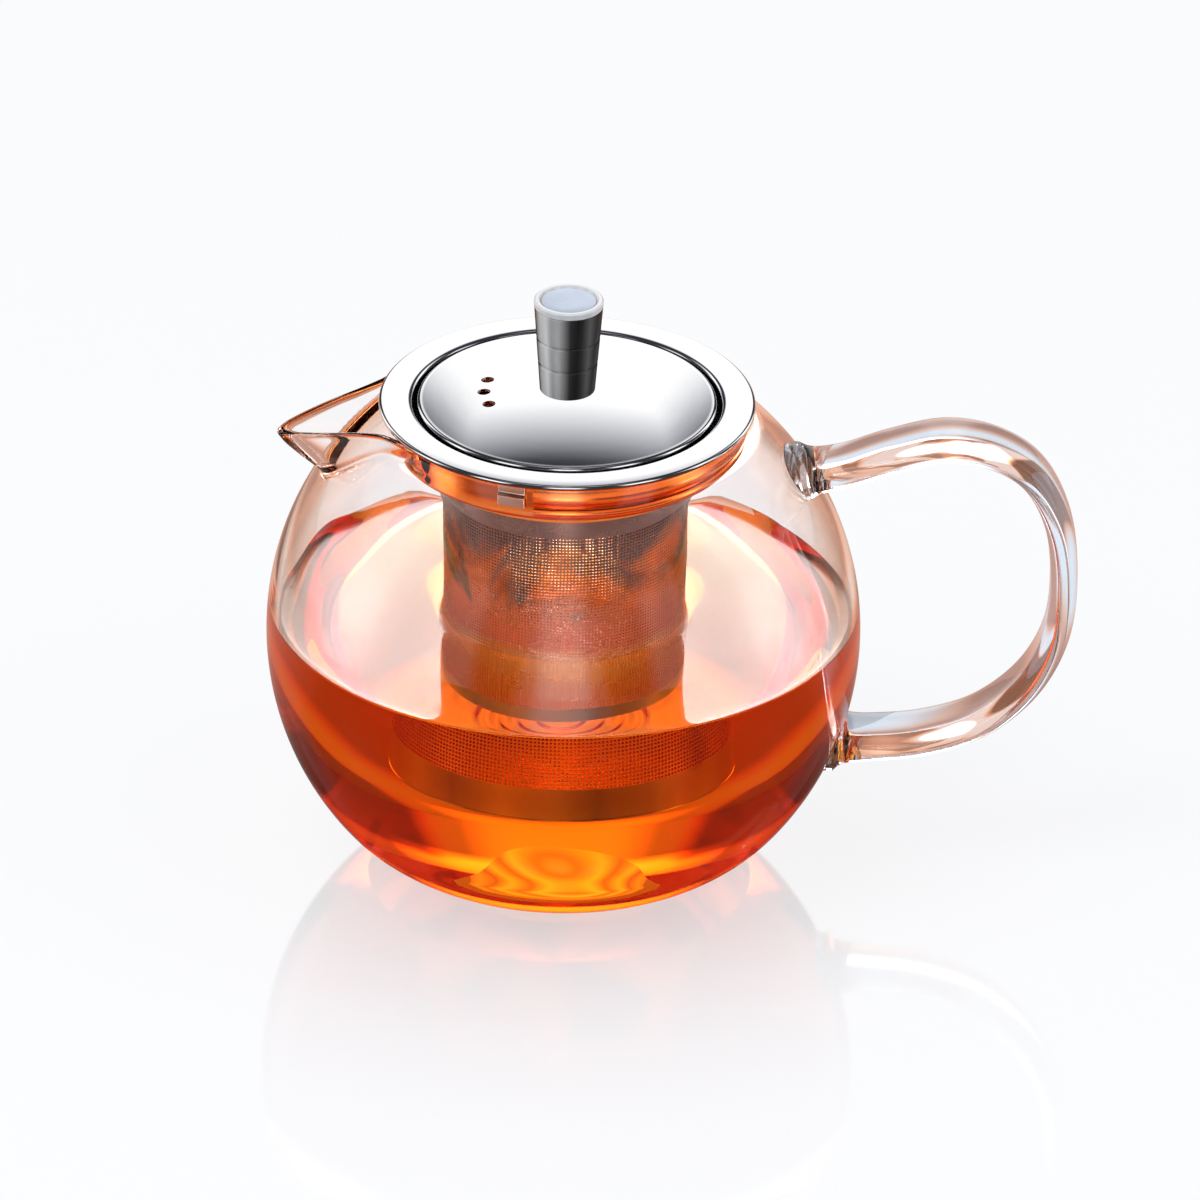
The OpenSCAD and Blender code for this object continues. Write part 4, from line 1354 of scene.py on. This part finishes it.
class TEAPOT_OT_knob(Operator):
    """Turn the tapered knob with its grooves and bright cap"""
    bl_idname = "teapot.knob"
    bl_label = "Knob"

    def execute(self, context):
        look = context.scene.teapot_steel
        foot = flange_top(context) + look.dome_rise / MM + LID_PLAY
        tall, low_r, top_r, core, cap = 22.8, 6.3, 8.0, 4.05, 1.6
        # The grip's near black and its soft light bands are painted reflections, set by the angle round the
        # knob
        grip = painted_reflection_bands(metal("black_nickel", look.knob, 0.36, 0.42, 70.0, 0.92, 0.0), KNOB_REFLECTIONS)
        shader_inputs(grip)["Specular IOR Level"].default_value = 0.12
        shader_inputs(grip)["Metallic"].default_value = 0.3
        bright = metal("knob_bright", (0.93, 0.95, 0.98), 0.30, 0.36, 50.0, 0.95, 0.0)
        shader_inputs(bright)["Metallic"].default_value = 0.35
        pale = metal("knob_disc", (0.70, 0.78, 0.92), 0.24, 0.30, 50.0, 0.90, 0.0)

        def radius(h):
            return low_r + (top_r - low_r) * h / tall

        split, groove, first, second = 0.1, 0.4, 7, 13.2
        spans = [
            ("knob_foot_ring", 0, first - split),
            ("knob_middle_ring", first + groove + split, second - split),
            ("knob_top_ring", second + groove + split, tall - cap - split)]
        for node, a, b in spans:
            corners = [(core, foot + a, 0), (radius(a), foot + a, 0.22), (radius(b), foot + b, 0.22)]
            self.turned(node, corners + [(core, foot + b, 0)], grip, "knob_black", True, 35)
        keep_solid("knob_core", grip)
        top = foot + tall
        ring = [(0, top - cap, 0), (radius(tall - cap), top - cap, 0.2), (top_r, top, 0.45),
                (top_r - 1.3, top, 0.35), (top_r - 1.6, top - 0.8, 0.1), (0, top - 0.8, 0)]
        self.turned("knob_cap_ring", ring, bright, "knob_cap", False, 40)
        disc_r = top_r - 1.65
        disc = [(0, top - 0.78, 0), (disc_r, top - 0.78, 0.05), (disc_r, top - 0.42, 0.15),
                (disc_r * 0.6, top - 0.36, 0), (0, top - 0.34, 0)]
        self.turned("knob_cap_disc", disc, pale, "knob_cap", False, 40)
        for node in ("knob_core", "knob_screw", "knob_washer"):
            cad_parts[node].visible_glossy = False
        return {"FINISHED"}

    def turned(self, node, corners, finish, slot, loop, sharp):
        """One turned piece, left out of the lid's mirror image so that the dome stays clean."""
        shape = lathe(soften(corners, loop), 160, loop)
        made = piece(node + "_turned", shape, finish, "lid", [node], sharp)
        made.visible_glossy = False


class TEAPOT_PT_panel(Panel):
    """Lists the pieces in the order they are made"""
    bl_idname = "TEAPOT_PT_panel"
    bl_label = "Glass Teapot"
    bl_space_type = "VIEW_3D"
    bl_region_type = "UI"
    bl_category = "Teapot"

    def draw(self, context):
        for step in STEPS:
            self.layout.operator(step.bl_idname)
        for name in SETTINGS:
            settings = getattr(context.scene, name)
            box = self.layout.box()
            for key in settings.__annotations__:
                box.prop(settings, key)


STEPS = (
    TEAPOT_OT_stage, TEAPOT_OT_glass_pot, TEAPOT_OT_handle, TEAPOT_OT_tea,
    TEAPOT_OT_infuser, TEAPOT_OT_basket, TEAPOT_OT_lid, TEAPOT_OT_knob,
)
SETTINGS = {
    "teapot_glass": TeapotGlassSettings,
    "teapot_tea": TeapotTeaSettings,
    "teapot_steel": TeapotSteelSettings,
    "teapot_stage": TeapotStageSettings,
}


def register():
    for kind in (*SETTINGS.values(), *STEPS, TEAPOT_PT_panel):
        bpy.utils.register_class(kind)
    for name, kind in SETTINGS.items():
        setattr(bpy.types.Scene, name, PointerProperty(type=kind))


def unregister():
    for name in SETTINGS:
        delattr(bpy.types.Scene, name)
    for kind in (TEAPOT_PT_panel, *STEPS[::-1], *SETTINGS.values()):
        bpy.utils.unregister_class(kind)


def main():
    register()
    for step in STEPS:
        group, name = step.bl_idname.split(".")
        getattr(getattr(bpy.ops, group), name)()


if __name__ == "__main__":
    main()
